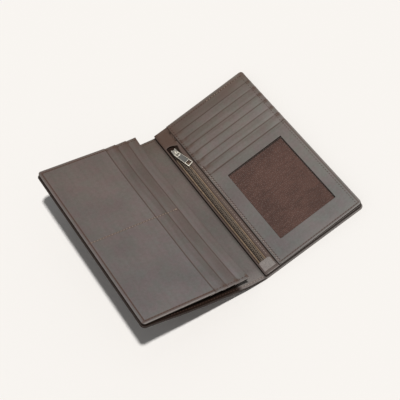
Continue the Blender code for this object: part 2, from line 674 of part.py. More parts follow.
def build_page(page):
    """The left page: its back lining, its base, two slanting slot strips, and the wide outer panel."""
    y_span = (NEAR_END + EDGE_INSET, FAR_END - EDGE_INSET)
    radius = CORNER_RADIUS - EDGE_INSET
    base_low = LINING_THICKNESS + LAYER_GAP
    base_high = base_low + BASE_THICKNESS
    slope = math.atan2(STEP_HEIGHT, PAGE_SLOT_PITCH)
    top = base_high + LAYER_GAP + PAGE_STRIP_LENGTH * math.sin(slope) + LEATHER_THICKNESS
    lining_y = (y_span[0] + PAGE_LINING_INSET, y_span[1] - PAGE_LINING_INSET)
    lining_x = (0.0, PAGE_WIDTH - PAGE_LINING_INSET)
    sheet("page_lining", lining_x, lining_y, (0.0, LINING_THICKNESS), LINING_LOOK, page, (-1, 0), radius)
    sheet("page_base", (0.0, PAGE_WIDTH), y_span, (base_low, base_high), LEATHER_LOOK, page, (-1, 0), radius)
    outline = edge_strip_outline(PAGE_WIDTH, EDGE_STRIP_DEPTH, PAGE_FIRST_SLOT, base_high + LAYER_GAP, top)
    mesh = outline_mesh("page_edge_strip", outline, *y_span)
    mesh.transform(Matrix(((1, 0, 0, 0), (0, 0, -1, 0), (0, 1, 0, 0), (0, 0, 0, 1))))
    add_part("page_edge_strip", mesh, LEATHER_LOOK, page)
    for index in range(PAGE_STRIP_COUNT):
        place = PAGE_WIDTH - PAGE_FIRST_SLOT - index * PAGE_SLOT_PITCH
        mouth = new_frame(f"page_mouth_{index + 1}", (place, 0.0, top), (0.0, -slope, 0.0), page)
        span = (-PAGE_STRIP_LENGTH, 0.0)
        sheet(f"page_strip_{index + 1}", span, y_span, (-LEATHER_THICKNESS, 0.0), LEATHER_LOOK, mouth)
    panel_z = (base_high + LAYER_GAP, top)
    panel_x = (0.0, PAGE_WIDTH - PAGE_FIRST_SLOT - PAGE_STRIP_COUNT * PAGE_SLOT_PITCH)
    wall_end = panel_x[1] + PAGE_SLOT_PITCH - PAGE_STRIP_LENGTH - LAYER_GAP
    turned_panel("page_panel", panel_x, y_span, panel_z, 0, wall_end, page, (-1, 0))


def build_wallet():
    """Set up the creases and hinges as empties, and build every piece in its own frame."""
    root = new_frame("wallet_frame", (0.0, 0.0, 0.0))
    right = new_frame("right_frame", (FOLD_X, 0.0, CREASE_HEIGHT), parent=root)
    spine = new_frame("right_crease", (FOLD_X, 0.0, CREASE_HEIGHT), (0.0, SPINE_ANGLE, 0.0), root)
    left = new_frame("left_crease", (-SPINE_WIDTH, 0.0, 0.0), (0.0, LEFT_ANGLE, 0.0), spine)
    page = new_frame("page_hinge", (-LEFT_WIDTH + PAGE_INSET, 0.0, LAYER_GAP), (0.0, -PAGE_ANGLE, 0.0), left)
    slider = new_frame("slider_frame", (ZIP_X, SLIDER_Y, 0.0), parent=root)
    pivot = new_frame("pull_hinge", (0.0, -PIVOT_OFFSET, PIVOT_HEIGHT), (0.0, 0.0, PULL_TURN), slider)
    note_reach(spine, SPINE_ANGLE - CREASE_CLOSED, SPINE_ANGLE)
    note_reach(left, LEFT_ANGLE - CREASE_CLOSED, LEFT_ANGLE)
    note_reach(page, -PAGE_ANGLE, PAGE_OPENING)
    note_reach(slider, 0.0, SLIDER_TRAVEL)
    note_reach(pivot, 0.0, PULL_SWING)
    build_covers(right, spine, left)
    build_coin_bag(root)
    build_zip_panel(root)
    build_teeth("left_teeth", 1, 0.0, root)
    build_teeth("right_teeth", -1, TOOTH_PITCH / 2, root)
    build_tapes(root)
    build_stops(root)
    build_end_tab(root)
    build_slider(slider)
    build_pull(pivot)
    build_card_panel(root)
    build_page(page)
    bpy.context.view_layer.update()


build_wallet()
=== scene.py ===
"""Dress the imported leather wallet: grained leather, turned edges, stitching, a woven lining and a metal zip.

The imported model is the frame. Every new piece is a surface worked out over a grid of places on the
flat wallet, and then folded with the half that carries it. Metres throughout, in the frame's own axes.
"""

import json
import math

import bmesh
import bpy
import numpy as np
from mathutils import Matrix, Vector

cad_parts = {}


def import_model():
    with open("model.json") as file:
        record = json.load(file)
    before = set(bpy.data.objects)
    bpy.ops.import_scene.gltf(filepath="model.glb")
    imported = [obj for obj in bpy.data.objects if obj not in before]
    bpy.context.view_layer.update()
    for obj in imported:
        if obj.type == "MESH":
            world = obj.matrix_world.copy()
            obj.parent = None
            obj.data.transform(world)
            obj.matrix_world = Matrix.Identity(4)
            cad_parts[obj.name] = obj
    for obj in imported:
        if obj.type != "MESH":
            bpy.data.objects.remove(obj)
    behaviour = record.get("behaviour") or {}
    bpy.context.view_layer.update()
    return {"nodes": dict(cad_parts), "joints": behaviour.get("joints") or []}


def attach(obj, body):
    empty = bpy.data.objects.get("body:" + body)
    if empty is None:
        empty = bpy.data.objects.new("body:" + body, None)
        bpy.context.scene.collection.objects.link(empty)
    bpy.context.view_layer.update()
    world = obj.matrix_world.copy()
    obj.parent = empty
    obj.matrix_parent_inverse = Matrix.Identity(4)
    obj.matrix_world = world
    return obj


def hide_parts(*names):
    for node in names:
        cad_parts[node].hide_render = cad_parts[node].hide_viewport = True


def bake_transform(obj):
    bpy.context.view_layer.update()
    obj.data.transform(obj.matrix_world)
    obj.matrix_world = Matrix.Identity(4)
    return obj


bl_info = {
    "name": "Leather wallet",
    "version": (1, 0, 0),
    "blender": (4, 5, 0),
    "location": "3D View > Sidebar > Wallet",
    "description": "Builds the visible leather, cloth, thread and metal of an open long wallet",
    "category": "Object",
}

MM = 0.001
TINY = 1e-9
# Points round a corner's arc and steps along a side of an outline, and its least radius
ARC_POINTS = 8
SIDE_STEPS = 30
SHARPEST = 0.05 * MM
# How finely the open cover's path is followed, and how far past its edge
PATH_POINTS = 4001
PAST_EDGE = 5.0 * MM
# The least distance between two rows of points, the first row's from an end that isn't rounded, and the
# least thickness of a slab
CLOSEST = 0.05 * MM
CUT_STEP = 0.03 * MM
THINNEST = 0.02 * MM
# How much further out the card panel's outer edge lies than its solid
PANEL_OUT = 0.4 * MM

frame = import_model()
JOINTS = {joint["name"]: joint for joint in frame["joints"]}


def node_points(node):
    """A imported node's points as one array."""
    mesh = frame["nodes"][node].data
    points = np.empty(len(mesh.vertices) * 3, np.float32)
    mesh.vertices.foreach_get("co", points)
    return points.reshape(-1, 3).astype(float)


def turned(points, angle, place):
    """Turn flat points about Y and move them to a place. A positive angle raises the low side of x."""
    x, y, z = np.moveaxis(np.asarray(points, float), -1, 0)
    across = x * math.cos(angle) + z * math.sin(angle)
    up = z * math.cos(angle) - x * math.sin(angle)
    return np.stack((place[0] + across, place[1] + y, place[2] + up), -1)


def flat_box(node, angle=0.0, place=(0.0, 0.0, 0.0)):
    """A node's lowest and highest corner in the flat frame of the half that carries it."""
    points = turned(node_points(node) - np.array(place), -angle, (0.0, 0.0, 0.0))
    return points.min(axis=0), points.max(axis=0)


# Where the creases and the page's hinge are, and how far each half is raised
FOLD = np.array(JOINTS["right_crease"]["pos_m"])
LEFT_CREASE = np.array(JOINTS["left_crease"]["pos_m"])
PAGE_HINGE = np.array(JOINTS["page_hinge"]["pos_m"])
SPINE_ANGLE = math.radians(JOINTS["right_crease"]["range_deg"][1])
LEFT_ANGLE = SPINE_ANGLE + math.radians(JOINTS["left_crease"]["range_deg"][1])
PAGE_ANGLE = LEFT_ANGLE + math.radians(JOINTS["page_hinge"]["range_deg"][0])
SPINE_WIDTH = float(np.linalg.norm(LEFT_CREASE - FOLD))

# The layers' heights and the panels' sides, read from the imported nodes
RIGHT_LOW, RIGHT_HIGH = flat_box("right_cover")
LEFT_WIDTH = float(-flat_box("left_cover", LEFT_ANGLE, LEFT_CREASE)[0][0])
LINING_LOW = flat_box("right_lining")[0]
ZIP_LOW, ZIP_HIGH = flat_box("zip_panel")
BASE_LOW, BASE_HIGH = flat_box("card_base")
PANEL_LOW, PANEL_HIGH = flat_box("window_panel")
PANEL_HIGH[0] += PANEL_OUT
FAR_LOW, FAR_HIGH = flat_box("card_far_strip")
TAB_LOW, TAB_HIGH = flat_box("zip_end_tab")
BAG_LOW, BAG_HIGH = flat_box("coin_bag")
CLOTH_LOW, CLOTH_HIGH = flat_box("window_lining")
TEETH_LOW, TEETH_HIGH = flat_box("left_teeth")
TEETH_HIGH_X = float(flat_box("right_teeth")[1][0])
PAGE_LOW, PAGE_HIGH = flat_box("page_panel", PAGE_ANGLE, PAGE_HINGE)
PAGE_EDGE_LOW, PAGE_EDGE_HIGH = flat_box("page_edge_strip", PAGE_ANGLE, PAGE_HINGE)
PAGE_BASE_LOW, PAGE_BASE_HIGH = flat_box("page_base", PAGE_ANGLE, PAGE_HINGE)
PAGE_BACK_LOW, PAGE_BACK_HIGH = flat_box("page_lining", PAGE_ANGLE, PAGE_HINGE)
NEAR = float(RIGHT_LOW[1])
FAR = float(RIGHT_HIGH[1])
RIGHT_WIDTH = float(RIGHT_HIGH[0] - FOLD[0])
LEFT_END = -(SPINE_WIDTH + LEFT_WIDTH)
CARD_STRIPS = sorted(node for node in frame["nodes"] if node.startswith("card_strip_"))
PAGE_STRIPS = sorted(node for node in frame["nodes"] if node.startswith("page_strip_"))
MOUTHS = [float(flat_box(node)[1][1]) for node in CARD_STRIPS]
SLOT_PITCH = MOUTHS[0] - MOUTHS[1]
PAGE_MOUTHS = [float(flat_box(node, PAGE_ANGLE, PAGE_HINGE)[1][0]) for node in PAGE_STRIPS]
PAGE_PITCH = PAGE_MOUTHS[0] - PAGE_MOUTHS[1]

# The leather's build-up: its thickness, the fall of a slot's strip, and roundings
LEATHER = 0.6 * MM
STEP = 0.9 * MM
COVER_RADIUS = 4.0 * MM
PANEL_RADIUS = 3.2 * MM
SMALL_RADIUS = 0.7 * MM
THIN_EDGE = 0.22 * MM
THICK_EDGE = 0.4 * MM
# The bead round the cover, the width of the rims that are turned down, and how far the lining lies in
BEAD_WIDTH = 1.1 * MM
BEAD_RISE = 0.55 * MM
TURNED_RIM = 1.4 * MM
LINING_INSET = 0.8 * MM
# How far the cover bends on each side of a crease, where a frame's rims give way to its face, and how much
# lower the card panel lies beside the zip
CREASE_REACH = 3.5 * MM
RIM_LINE = 0.9 * MM
PRESSED = 2.4 * MM
# The lines that the needle follows, as distances from an edge or from the fold
EDGE_STITCH = 2.9 * MM
PANEL_STITCH = 2.2 * MM
FAR_STITCH = 3.9 * MM
OUTER_STITCH = 4.4 * MM
COVER_STITCH = 3.0 * MM
ZIP_STITCH_FROM_FOLD = 13.3 * MM
# How far apart the two rows at the card panel's split edge are, a pale row of lit thread and a brown row of
# painted shade beside it, and where the thread changes its colour; on the far seam the lighter copy is a
# painted highlight
SPLIT_SHIFT = 1.3 * MM
FAR_LIGHT = PANEL_LOW[0] + 45.0 * MM
ZIP_LIGHT = -30.0 * MM
# The pull's rim and hole, across and along it: as packed, and as slim as the photo shows them
PULL_ACROSS = np.array(((0.0, 1.9, 2.5, 3.5), (0.0, 2.5, 2.95, 3.5))) * MM
PULL_ALONG = np.array(((0.0, 14.9, 15.9, 19.1, 20.5), (0.0, 14.6, 15.2, 19.5, 20.5))) * MM
# The stitches: their slant, how far they are sunk into the face and into a seam's groove, and the path's step
STITCH_SLANT = 0.2
THREAD_SUNK = 0.08 * MM
SEAM_DIP = 0.12 * MM
LINING_DIP = 0.22 * MM
PATH_STEP = 0.6 * MM
# A seam's groove, and the grids of the thin leather below the pockets: rounding, zone and step in x and y
GROOVE_DEPTH = 0.16 * MM
GROOVE_WIDTH = 0.75 * MM
BACKING_GRIDS = ((0.2 * MM, PANEL_RADIUS, 6.0 * MM), (0.2 * MM, PANEL_RADIUS, 8.0 * MM))
# How the leather sags at the zip opening's far corner, and how much nearer the tab lies than its solid
ZIP_CORNER_SAG = (1.8 * MM, -3.5 * MM, 0.0)
TAB_NEARER = 2.2 * MM
# Faces of a cast part that count as one flat, and edges that are bevelled
FLAT_WITHIN = math.radians(2.0)
SHARP_OVER = math.radians(35.0)
# Where the painted shade on the tapes starts towards the far end, and how far in the chain's side is painted
# dark as shade
TAPE_SHADE = 55.0 * MM
CHAIN_SIDE = 0.9 * MM
# Rows of points where a colour changes quickly: inside the window's edge, and along the page's middle seam
EDGE_SHADE = np.linspace(0.0, 1.5, 6) * MM
MIDDLE_ROWS = np.linspace(-2.4, 2.4, 13) * MM
# The bar of stitches that ends the page's middle seam: its place from the hinge, its rows and half its length
BAR_PLACE = 92.4 * MM
BAR_ROWS = (-0.7 * MM, 0.0, 0.7 * MM)
BAR_REACH = 1.45 * MM
# The masks that a leather piece carries, and 1 on a slab's upper face and 0 on its lower one. They hold
# burnished seams, worn rims, inked edges and tone, and also painted shade (in the burnished lines and the
# inked edges), painted highlights (on the rims) and painted light (in the tone)
MASKS = ("burnish", "rim", "ink", "tone")
UPPER_FACE = np.array([1.0, 0.0])[:, None, None]
# How much the page's strips are browned all over
PAGE_STAIN = 0.18
# How light each strip of the card panel is, from the far slot to the near one, and then the strip at the far
# end. The page's strips take the first two, and its free edge the fifth
STRIP_TONES = (-0.3, -0.4, -0.1, 0.2, 0.05, -0.1, -0.8)
# The window's margins at the left, right, near and far side of its panel
WINDOW_MARGINS = (15.9 * MM, 14.4 * MM, 20.2 * MM, 12.0 * MM)
# The zip's opening: its left and right side from the fold, and its margins at the near and far end
ZIP_OPENING = (2.4 * MM, 11.0 * MM, 6.4 * MM, 21.7 * MM)
# Pairs of factors that the leather's colour runs between: painted light from the near end to the far one and
# from the left half to the right one, then in clouds, in patches, by the tone mask (streaks, and painted light
# and shade) and in flecks
LENGTHWISE_LIGHT_TINTS = ((1.04, 1.11, 1.15), (0.97, 0.92, 0.87))
LEFT_RIGHT_LIGHT_TINTS = ((0.97, 0.97, 0.98), (1.18, 1.24, 1.23))
CLOUD_TINTS = ((0.87, 0.87, 0.87), (1.13, 1.13, 1.13))
PATCH_TINTS = ((1.05, 0.98, 0.99), (0.94, 0.99, 0.96))
TONE_TINTS = ((0.78, 0.74, 0.70), (1.20, 1.23, 1.26))
FLECK_TINTS = ((0.93, 0.92, 0.91), (1.07, 1.08, 1.09))
# Factors that stretch soft noise into the cloth's uneven threads and the metal's scratches
SLUBS = ((120.0, 420.0, 60.0), (420.0, 90.0, 90.0))
SCRATCHES = (9000.0, 900.0, 9000.0)
# The finishes: gloss, roughness, the depth of the relief, and the light and dark share of a colour
LEATHER_GLOSS = 0.12
LEATHER_RELIEF = 0.12 * MM
CLOTH_SHARES = (1.25, 0.75)
CLOTH_ROUGHNESS = 0.85
CLOTH_GLOSS = 0.1
CLOTH_RELIEF = 0.1 * MM
METAL_RELIEF = 0.02 * MM
THREAD_SHARES = (1.15, 0.75)
THREAD_ROUGHNESS = 0.55
THREAD_GLOSS = 0.2
THREAD_BUMP = 0.4
THREAD_RELIEF = 0.05 * MM
FILM_ROUGHNESS = (0.05, 0.12)
FILM_COLOUR = (0.20, 0.17, 0.16)
FILM_ALPHA = 0.05
# The stage: half the floor's width, and the width of the camera's sensor in millimetres
FLOOR_REACH = 1.5
SENSOR_WIDTH = 36.0


def a_colour(name, description, default):
    """A setting for a colour, as linear light."""
    return bpy.props.FloatVectorProperty(
        name=name, description=description, subtype="COLOR", default=default, min=0.0, max=1.0
    )


def a_length(name, description, default, low, high):
    """A setting for a length between two limits."""
    return bpy.props.FloatProperty(
        name=name, description=description, unit="LENGTH", default=default, min=low, max=high
    )


class WalletLeather(bpy.types.PropertyGroup):
    """The colours of the leather and the cloth, and how far the raised cover sags."""

    leather: a_colour("Leather", "Colour of the panels and the cover", (0.141, 0.119, 0.111))
    lining: a_colour("Lining", "Colour of the thinner leather inside", (0.128, 0.106, 0.096))
    # The redder brown is burnished leather along stitches, and painted shade just beyond the slot mouths
    burnish: a_colour("Burnish", "Redder brown along stitches and slot mouths", (0.088, 0.052, 0.038))
    # The paler rim is wear, and painted highlight where edges face the light
    rim: a_colour("Worn rim", "Paler colour along turned edges", (0.285, 0.250, 0.228))
    # Besides inked cut edges, this nearly black colour is painted shade on walls, in gaps between layers, down
    # in the fold, inside the compartment, at slot mouths and round the zip
    ink: a_colour(
        "Edge ink", "Nearly black stain on cut edges and inside the compartment", (0.016, 0.009, 0.006)
    )
    cloth: a_colour("Woven cloth", "Colour of the cloth behind the window", (0.089, 0.045, 0.034))
    sag: a_length("Sag", "How far the raised cover hangs below a straight line", 1.6 * MM, 0.0, 4.0 * MM)


class WalletThread(bpy.types.PropertyGroup):
    """The sewing."""

    pitch: a_length("Stitch pitch", "Distance from one stitch to the next", 2.9 * MM, 1.5 * MM, 6.0 * MM)
    length: a_length(
        "Stitch length", "Length of the thread that shows in each stitch", 2.3 * MM, 1.0 * MM, 5.0 * MM
    )
    radius: a_length("Thread radius", "Half the thickness of the thread", 0.28 * MM, 0.1 * MM, 0.6 * MM)
    brown: a_colour("Edge thread", "Colour of the thread round the panels' edges", (0.070, 0.035, 0.025))
    # At the split edge the pale thread is lit thread, a painted highlight, beside a brown row of painted
    # shade, and the light thread along the far seam is a painted highlight
    pale: a_colour("Pale thread", "Thread by the zip's near part and the split edge", (0.370, 0.300, 0.260))
    tan: a_colour(
        "Light thread", "Thread across the page and along the seams' far parts", (0.300, 0.232, 0.175)
    )


class WalletZip(bpy.types.PropertyGroup):
    """The zip's colours."""

    tape: a_colour("Tape", "Colour of the woven tapes", (0.208, 0.148, 0.101))
    teeth: a_colour("Teeth", "Colour of the dark metal teeth", (0.170, 0.132, 0.100))
    # The worn metal is patina in recesses, and painted shade below the parts' upper faces and along the pull's
    # one long side
    worn: a_colour("Worn metal", "Colour of the metal in recesses and along the sides", (0.150, 0.150, 0.145))
    silver: a_colour("Slider", "Colour of the slider, the pull and the stops", (0.790, 0.750, 0.660))


class WalletStage(bpy.types.PropertyGroup):
    """The floor, the light and the camera."""

    floor: a_colour("Floor", "Colour of the floor", (0.897, 0.865, 0.826))
    sun: bpy.props.FloatProperty(
        name="Key light",
        description="Strength of the key light",
        default=2.95,
        min=0.0,
        max=10.0,
    )
    sun_size: bpy.props.FloatProperty(
        name="Key light's size",
        description="Angle that the key light fills, which softens the shadow's edge",
        subtype="ANGLE",
        default=math.radians(3.4),
        min=0.0,
        max=math.radians(60.0),
    )
    sky: bpy.props.FloatProperty(
        name="Fill light",
        description="Strength of the even light from all round",
        default=0.190,
        min=0.0,
        max=2.0,
    )
    fill: a_colour("Fill colour", "Colour of the even light", (0.937, 0.958, 0.984))
    sun_from: bpy.props.FloatVectorProperty(
        name="Key light's direction",
        description="Direction from the wallet towards the key light",
        subtype="XYZ",
        default=(13.0, -21.7, 64.0),
    )
    camera_place: bpy.props.FloatVectorProperty(
        name="Camera's place",
        description="Where the camera stands",
        subtype="TRANSLATION",
        default=(-126.04 * MM, -538.10 * MM, 859.66 * MM),
    )
    camera_turn: bpy.props.FloatVectorProperty(
        name="Camera's turn",
        description="The camera's rotation, in X, Y and Z",
        subtype="EULER",
        default=(math.radians(29.0887), math.radians(15.7337), math.radians(-33.2319)),
    )
    camera_lens: bpy.props.FloatProperty(
        name="Camera's lens",
        description="Focal length on a sensor 36 mm wide",
        unit="CAMERA",
        default=98.53,
        min=20.0,
        max=300.0,
    )


def smooth(share):
    """A smooth step from 0 to 1: 3 t squared minus 2 t cubed."""
    share = np.clip(share, 0.0, 1.0)
    return share * share * (3.0 - 2.0 * share)


def after(value, start, width):
    """0 up to start and 1 from a width further on, with a smooth step between."""
    return smooth((value - start) / width)


def before(value, end, width):
    """1 up to a width before end and 0 from end on, with a smooth step between."""
    return smooth((end - value) / width)


def ridge(distance, width):
    """A soft ridge: 1 at distance 0, falling as a bell curve of that width."""
    return np.exp(-np.square(distance / width))


def strongest(*masks):
    """The largest of several masks at each place."""
    return np.maximum.reduce(np.broadcast_arrays(*masks))


def spaced(low, high, rounding, zone, step, ends=(True, True), fine=()):
    """Places from low to high: a quarter circle's at each end, even ones over its zone, wider ones between.

    ends says which ends are rounded. fine adds places where the surface or its colour changes quickly.
    """
    turn = np.linspace(0.0, math.pi / 2, 5)
    close = np.concatenate((rounding * (1.0 - np.cos(turn)), np.linspace(rounding, zone, 8)[1:]))
    start = low + close if ends[0] else np.array([low, low + CUT_STEP])
    end = high - close[::-1] if ends[1] else np.array([high - CUT_STEP, high])
    number = max(1, round((end[0] - start[-1]) / step))
    places = np.concatenate((start, np.linspace(start[-1], end[0], number + 1)[1:-1], end))
    fine = [place for place in fine if np.abs(places - place).min() > CLOSEST]
    return np.sort(np.concatenate((places, fine)))


def spans(low, high, inset=0.0):
    """The x span and the y span between two corners, drawn in by an inset."""
    return (low[0] + inset, high[0] - inset), (low[1] + inset, high[1] - inset)


def level(height):
    """A flat face at a height, for a slab."""
    return lambda x, y, distance: np.full(np.shape(x), height)


def side_distance(x, y, x_span, y_span, free=""):
    """How far each place is from the nearest side. The sides named in free don't count."""
    sides = {
        "left": x - x_span[0],
        "right": x_span[1] - x,
        "near": y - y_span[0],
        "far": y_span[1] - y,
    }
    return np.min([distance for side, distance in sides.items() if side not in free], axis=0)


def round_corners(x, y, x_span, y_span, radius, corners):
    """Pull square corners onto quarter circles.

    An offset (p, q) from the circle's centre is scaled by the larger of p and q over its length.
    """
    for side, end in corners:
        middle_x = x_span[1] - radius if side > 0 else x_span[0] + radius
        middle_y = y_span[1] - radius if end > 0 else y_span[0] + radius
        p = side * (x - middle_x)
        q = end * (y - middle_y)
        inside = (p > 0.0) & (q > 0.0)
        scale = np.where(inside, np.maximum(p, q) / np.maximum(np.hypot(p, q), TINY), 1.0)
        x = np.where(inside, middle_x + side * p * scale, x)
        y = np.where(inside, middle_y + end * q * scale, y)
    return x, y


def round_off(distance, radius):
    """How far a rounded edge has fallen at a distance from the side: a quarter circle."""
    reach = np.clip(radius - distance, 0.0, radius)
    return radius - np.sqrt(np.maximum(radius * radius - reach * reach, 0.0))


def grid_faces(rows, columns, wrap=(False, False)):
    """The quads of a grid of points, row by row. A wrapped way joins its last points to its first."""
    numbers = np.arange(rows * columns).reshape(rows, columns)
    if wrap[0]:
        numbers = np.concatenate((numbers, numbers[:1]), axis=0)
    if wrap[1]:
        numbers = np.concatenate((numbers, numbers[:, :1]), axis=1)
    quads = (numbers[:-1, :-1], numbers[1:, :-1], numbers[1:, 1:], numbers[:-1, 1:])
    return np.stack(quads, -1).reshape(-1, 4)


def slab_faces(rows, columns):
    """The quads of a closed slab: its upper grid, its lower grid turned over, and the wall between them."""
    upper = grid_faces(rows, columns)
    lower = upper[:, ::-1] + rows * columns
    numbers = np.arange(rows * columns).reshape(rows, columns)
    rim = np.concatenate((numbers[:-1, 0], numbers[-1, :-1], numbers[:0:-1, -1], numbers[0, :0:-1]))
    following = np.roll(rim, -1)
    wall = np.stack((rim + rows * columns, following + rows * columns, following, rim), -1)
    return np.concatenate((upper, lower, wall))


def make_mesh(name, points, faces, masks=None):
    """Put whole arrays of points, of faces with four corners and of masks into a new smooth mesh."""
    mesh = bpy.data.meshes.new(name)
    points = np.asarray(points, np.float32).reshape(-1, 3)
    mesh.vertices.add(len(points))
    mesh.vertices.foreach_set("co", points.ravel())
    mesh.loops.add(faces.size)
    mesh.loops.foreach_set("vertex_index", faces.astype(np.int32).ravel())
    mesh.polygons.add(len(faces))
    mesh.polygons.foreach_set("loop_start", np.arange(0, faces.size, faces.shape[1], dtype=np.int32))
    mesh.polygons.foreach_set("use_smooth", np.ones(len(faces), bool))
    for mask, values in (masks or {}).items():
        layer = mesh.attributes.new(mask, "FLOAT", "POINT")
        layer.data.foreach_set("value", np.asarray(values, np.float32).ravel())
    mesh.update(calc_edges=True)
    mesh.validate()
    return mesh


def outward(points, faces):
    """The faces in the order that points them out of a closed body, whose volume then counts as positive."""
    flat = np.asarray(points, float).reshape(-1, 3)
    corners = flat[faces]
    crossed = np.cross(corners[:, 1] - corners[:, 0], corners[:, 2] - corners[:, 0])
    crossed = crossed + np.cross(corners[:, 2] - corners[:, 0], corners[:, 3] - corners[:, 0])
    volume = np.einsum("ij,ij->", crossed, corners[:, 0] - flat.mean(axis=0))
    return faces if volume > 0.0 else faces[:, ::-1]


def add_piece(name, points, faces, material, body=None, stands_for=(), masks=None):
    """Make a piece of the wallet, give it its material, and let it ride on the body that carries it."""
    mesh = make_mesh(name, points, outward(points, faces), masks)
    mesh.materials.append(material)
    piece = bpy.data.objects.new(name, mesh)
    bpy.context.scene.collection.objects.link(piece)
    if body:
        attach(piece, body)
    if stands_for:
        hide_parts(*stands_for)
    return piece


def slab(limits, grids, upper, lower, rounding, corners=(), radius=PANEL_RADIUS, free="", fine=((), ())):
    """A thin closed body over a grid of flat places.

    limits are its spans in x and y, and grids its rounding, zone and step there, as spaced takes them. upper
    and lower give the two faces' heights from x, y and the distance from the edge. Both faces are rounded off
    towards the edge by a quarter circle, and the corners are drawn onto quarter circles.
    """
    x_span, y_span = limits
    x_ends = ("left" not in free, "right" not in free)
    x_places = spaced(*x_span, *grids[0], x_ends, fine[0])
    y_places = spaced(*y_span, *grids[1], fine=fine[1])
    x, y = np.meshgrid(x_places, y_places, indexing="ij")
    distance = side_distance(x, y, x_span, y_span, free)
    drop = round_off(distance, rounding)
    high = upper(x, y, distance) - drop
    low = np.minimum(lower(x, y, distance) + drop, high - THINNEST)
    x, y = round_corners(x, y, x_span, y_span, radius, corners)
    points = np.stack((np.stack((x, y, high), -1), np.stack((x, y, low), -1)))
    return points, slab_faces(*x.shape), np.stack((distance, distance))


def outline(x_span, y_span, radii, inset, shares=(1.0, 1.0, 1.0, 1.0)):
    """Points round a rectangle with round corners, drawn in by an inset that each side takes a share of.

    The corners come in the order far right, far left, near left and near right, and keep their number of
    points at every inset, so that one outline can be joined to the next.
    """
    left, right, near, far = (inset * share for share in shares)
    corners = (
        (x_span[1] - right, y_span[1] - far, 1, 1, 0.0),
        (x_span[0] + left, y_span[1] - far, -1, 1, 0.5),
        (x_span[0] + left, y_span[0] + near, -1, -1, 1.0),
        (x_span[1] - right, y_span[0] + near, 1, -1, 1.5),
    )
    arcs = []
    for (corner_x, corner_y, way_x, way_y, start), radius in zip(corners, radii):
        bend = max(radius - inset, SHARPEST)
        angle = math.pi * (start + np.linspace(0.0, 0.5, ARC_POINTS))
        middle = (corner_x - way_x * bend, corner_y - way_y * bend)
        arcs.append(np.stack((middle[0] + bend * np.cos(angle), middle[1] + bend * np.sin(angle)), -1))
    runs = []
    for number, bow in enumerate(arcs):
        following = arcs[(number + 1) % len(arcs)]
        share = np.linspace(0.0, 1.0, SIDE_STEPS + 1)[1:-1, None]
        runs += [bow, bow[-1] * (1.0 - share) + following[0] * share]
    return np.concatenate(runs)


def framed(profile, outer, inner, shares=(1.0, 1.0, 1.0, 1.0)):
    """A closed frame: a profile of (edge, inset, height) carried round between an outer and an inner outline.

    Where edge is "between", inset is the share of the way from the outer rim's line to the inner rim's.
    """
    rims = (outline(*outer, RIM_LINE, shares), outline(*inner, -RIM_LINE))
    loops = []
    for edge, inset, height in profile:
        if edge == "between":
            around = rims[0] * (1.0 - inset) + rims[1] * inset
        else:
            around = outline(*outer, inset, shares) if edge == "outer" else outline(*inner, -inset)
        loops.append(np.column_stack((around, np.full(len(around), height))))
    points = np.stack(loops)
    return points, grid_faces(*points.shape[:2], wrap=(True, True))


def fold_path(distance):
    """Follow the open cover: the lining's place and turn at distances from the fold, negative to the left.

    The turn rises by smooth steps at the two creases. The place is the sum of its cosines and sines, and
    the raised half hangs below that line by a squared sine.
    """
    steps = np.linspace(CREASE_REACH, LEFT_END - PAST_EDGE, PATH_POINTS)
    turn = SPINE_ANGLE * smooth(0.5 - steps / (2 * CREASE_REACH))
    turn = turn + (LEFT_ANGLE - SPINE_ANGLE) * smooth(0.5 - (steps + SPINE_WIDTH) / (2 * CREASE_REACH))
    gap = steps[0] - steps[1]
    middle = (turn[1:] + turn[:-1]) / 2
    across = np.concatenate(([0.0], np.cumsum(np.cos(middle) * gap)))
    up = np.concatenate(([0.0], np.cumsum(np.sin(middle) * gap)))
    back = steps[::-1]
    flat = distance > CREASE_REACH
    x = np.where(flat, FOLD[0] + distance, FOLD[0] + CREASE_REACH - np.interp(distance, back, across[::-1]))
    z = np.where(flat, FOLD[2], FOLD[2] + np.interp(distance, back, up[::-1]))
    angle = np.where(flat, 0.0, np.interp(distance, back, turn[::-1]))
    return x, z, angle


def folded(points):
    """Carry points from the flat cover to the open one.

    They are given as their distance from the fold, their y and their height over the lining.
    """
    distance, y, height = np.moveaxis(points, -1, 0)
    x, z, angle = fold_path(distance)
    share = np.clip((-distance - SPINE_WIDTH) / LEFT_WIDTH, 0.0, 1.0)
    height = height - leather_of().sag * np.square(np.sin(math.pi * share))
    return np.stack((x + height * np.sin(angle), y, z + height * np.cos(angle)), -1)


def on_page(points):
    """Carry points from the flat page to the raised one."""
    return turned(bowed(points), PAGE_ANGLE, PAGE_HINGE)


def leather_of():
    """The leather's settings."""
    return bpy.context.scene.wallet_leather


def thread_of():
    """The thread's settings."""
    return bpy.context.scene.wallet_thread


def add_node(tree, kind, inputs=None, **settings):
    """Add a shader node, with its settings and what goes into its sockets."""
    node = tree.nodes.new(kind)
    for setting, value in settings.items():
        setattr(node, setting, value)
    for socket, value in (inputs or {}).items():
        if isinstance(value, bpy.types.NodeSocket):
            tree.links.new(value, node.inputs[socket])
        else:
            node.inputs[socket].default_value = value
    return node


def mix_colours(tree, share, first, second, blend="MIX"):
    """Mix two colours by a share."""
    inputs = {0: share, 6: first, 7: second}
    return add_node(tree, "ShaderNodeMix", inputs, data_type="RGBA", blend_type=blend).outputs[2]


def count(tree, operation, *values, clamp=False):
    """One sum on numbers."""
    node = add_node(tree, "ShaderNodeMath", dict(enumerate(values)), operation=operation, use_clamp=clamp)
    return node.outputs[0]


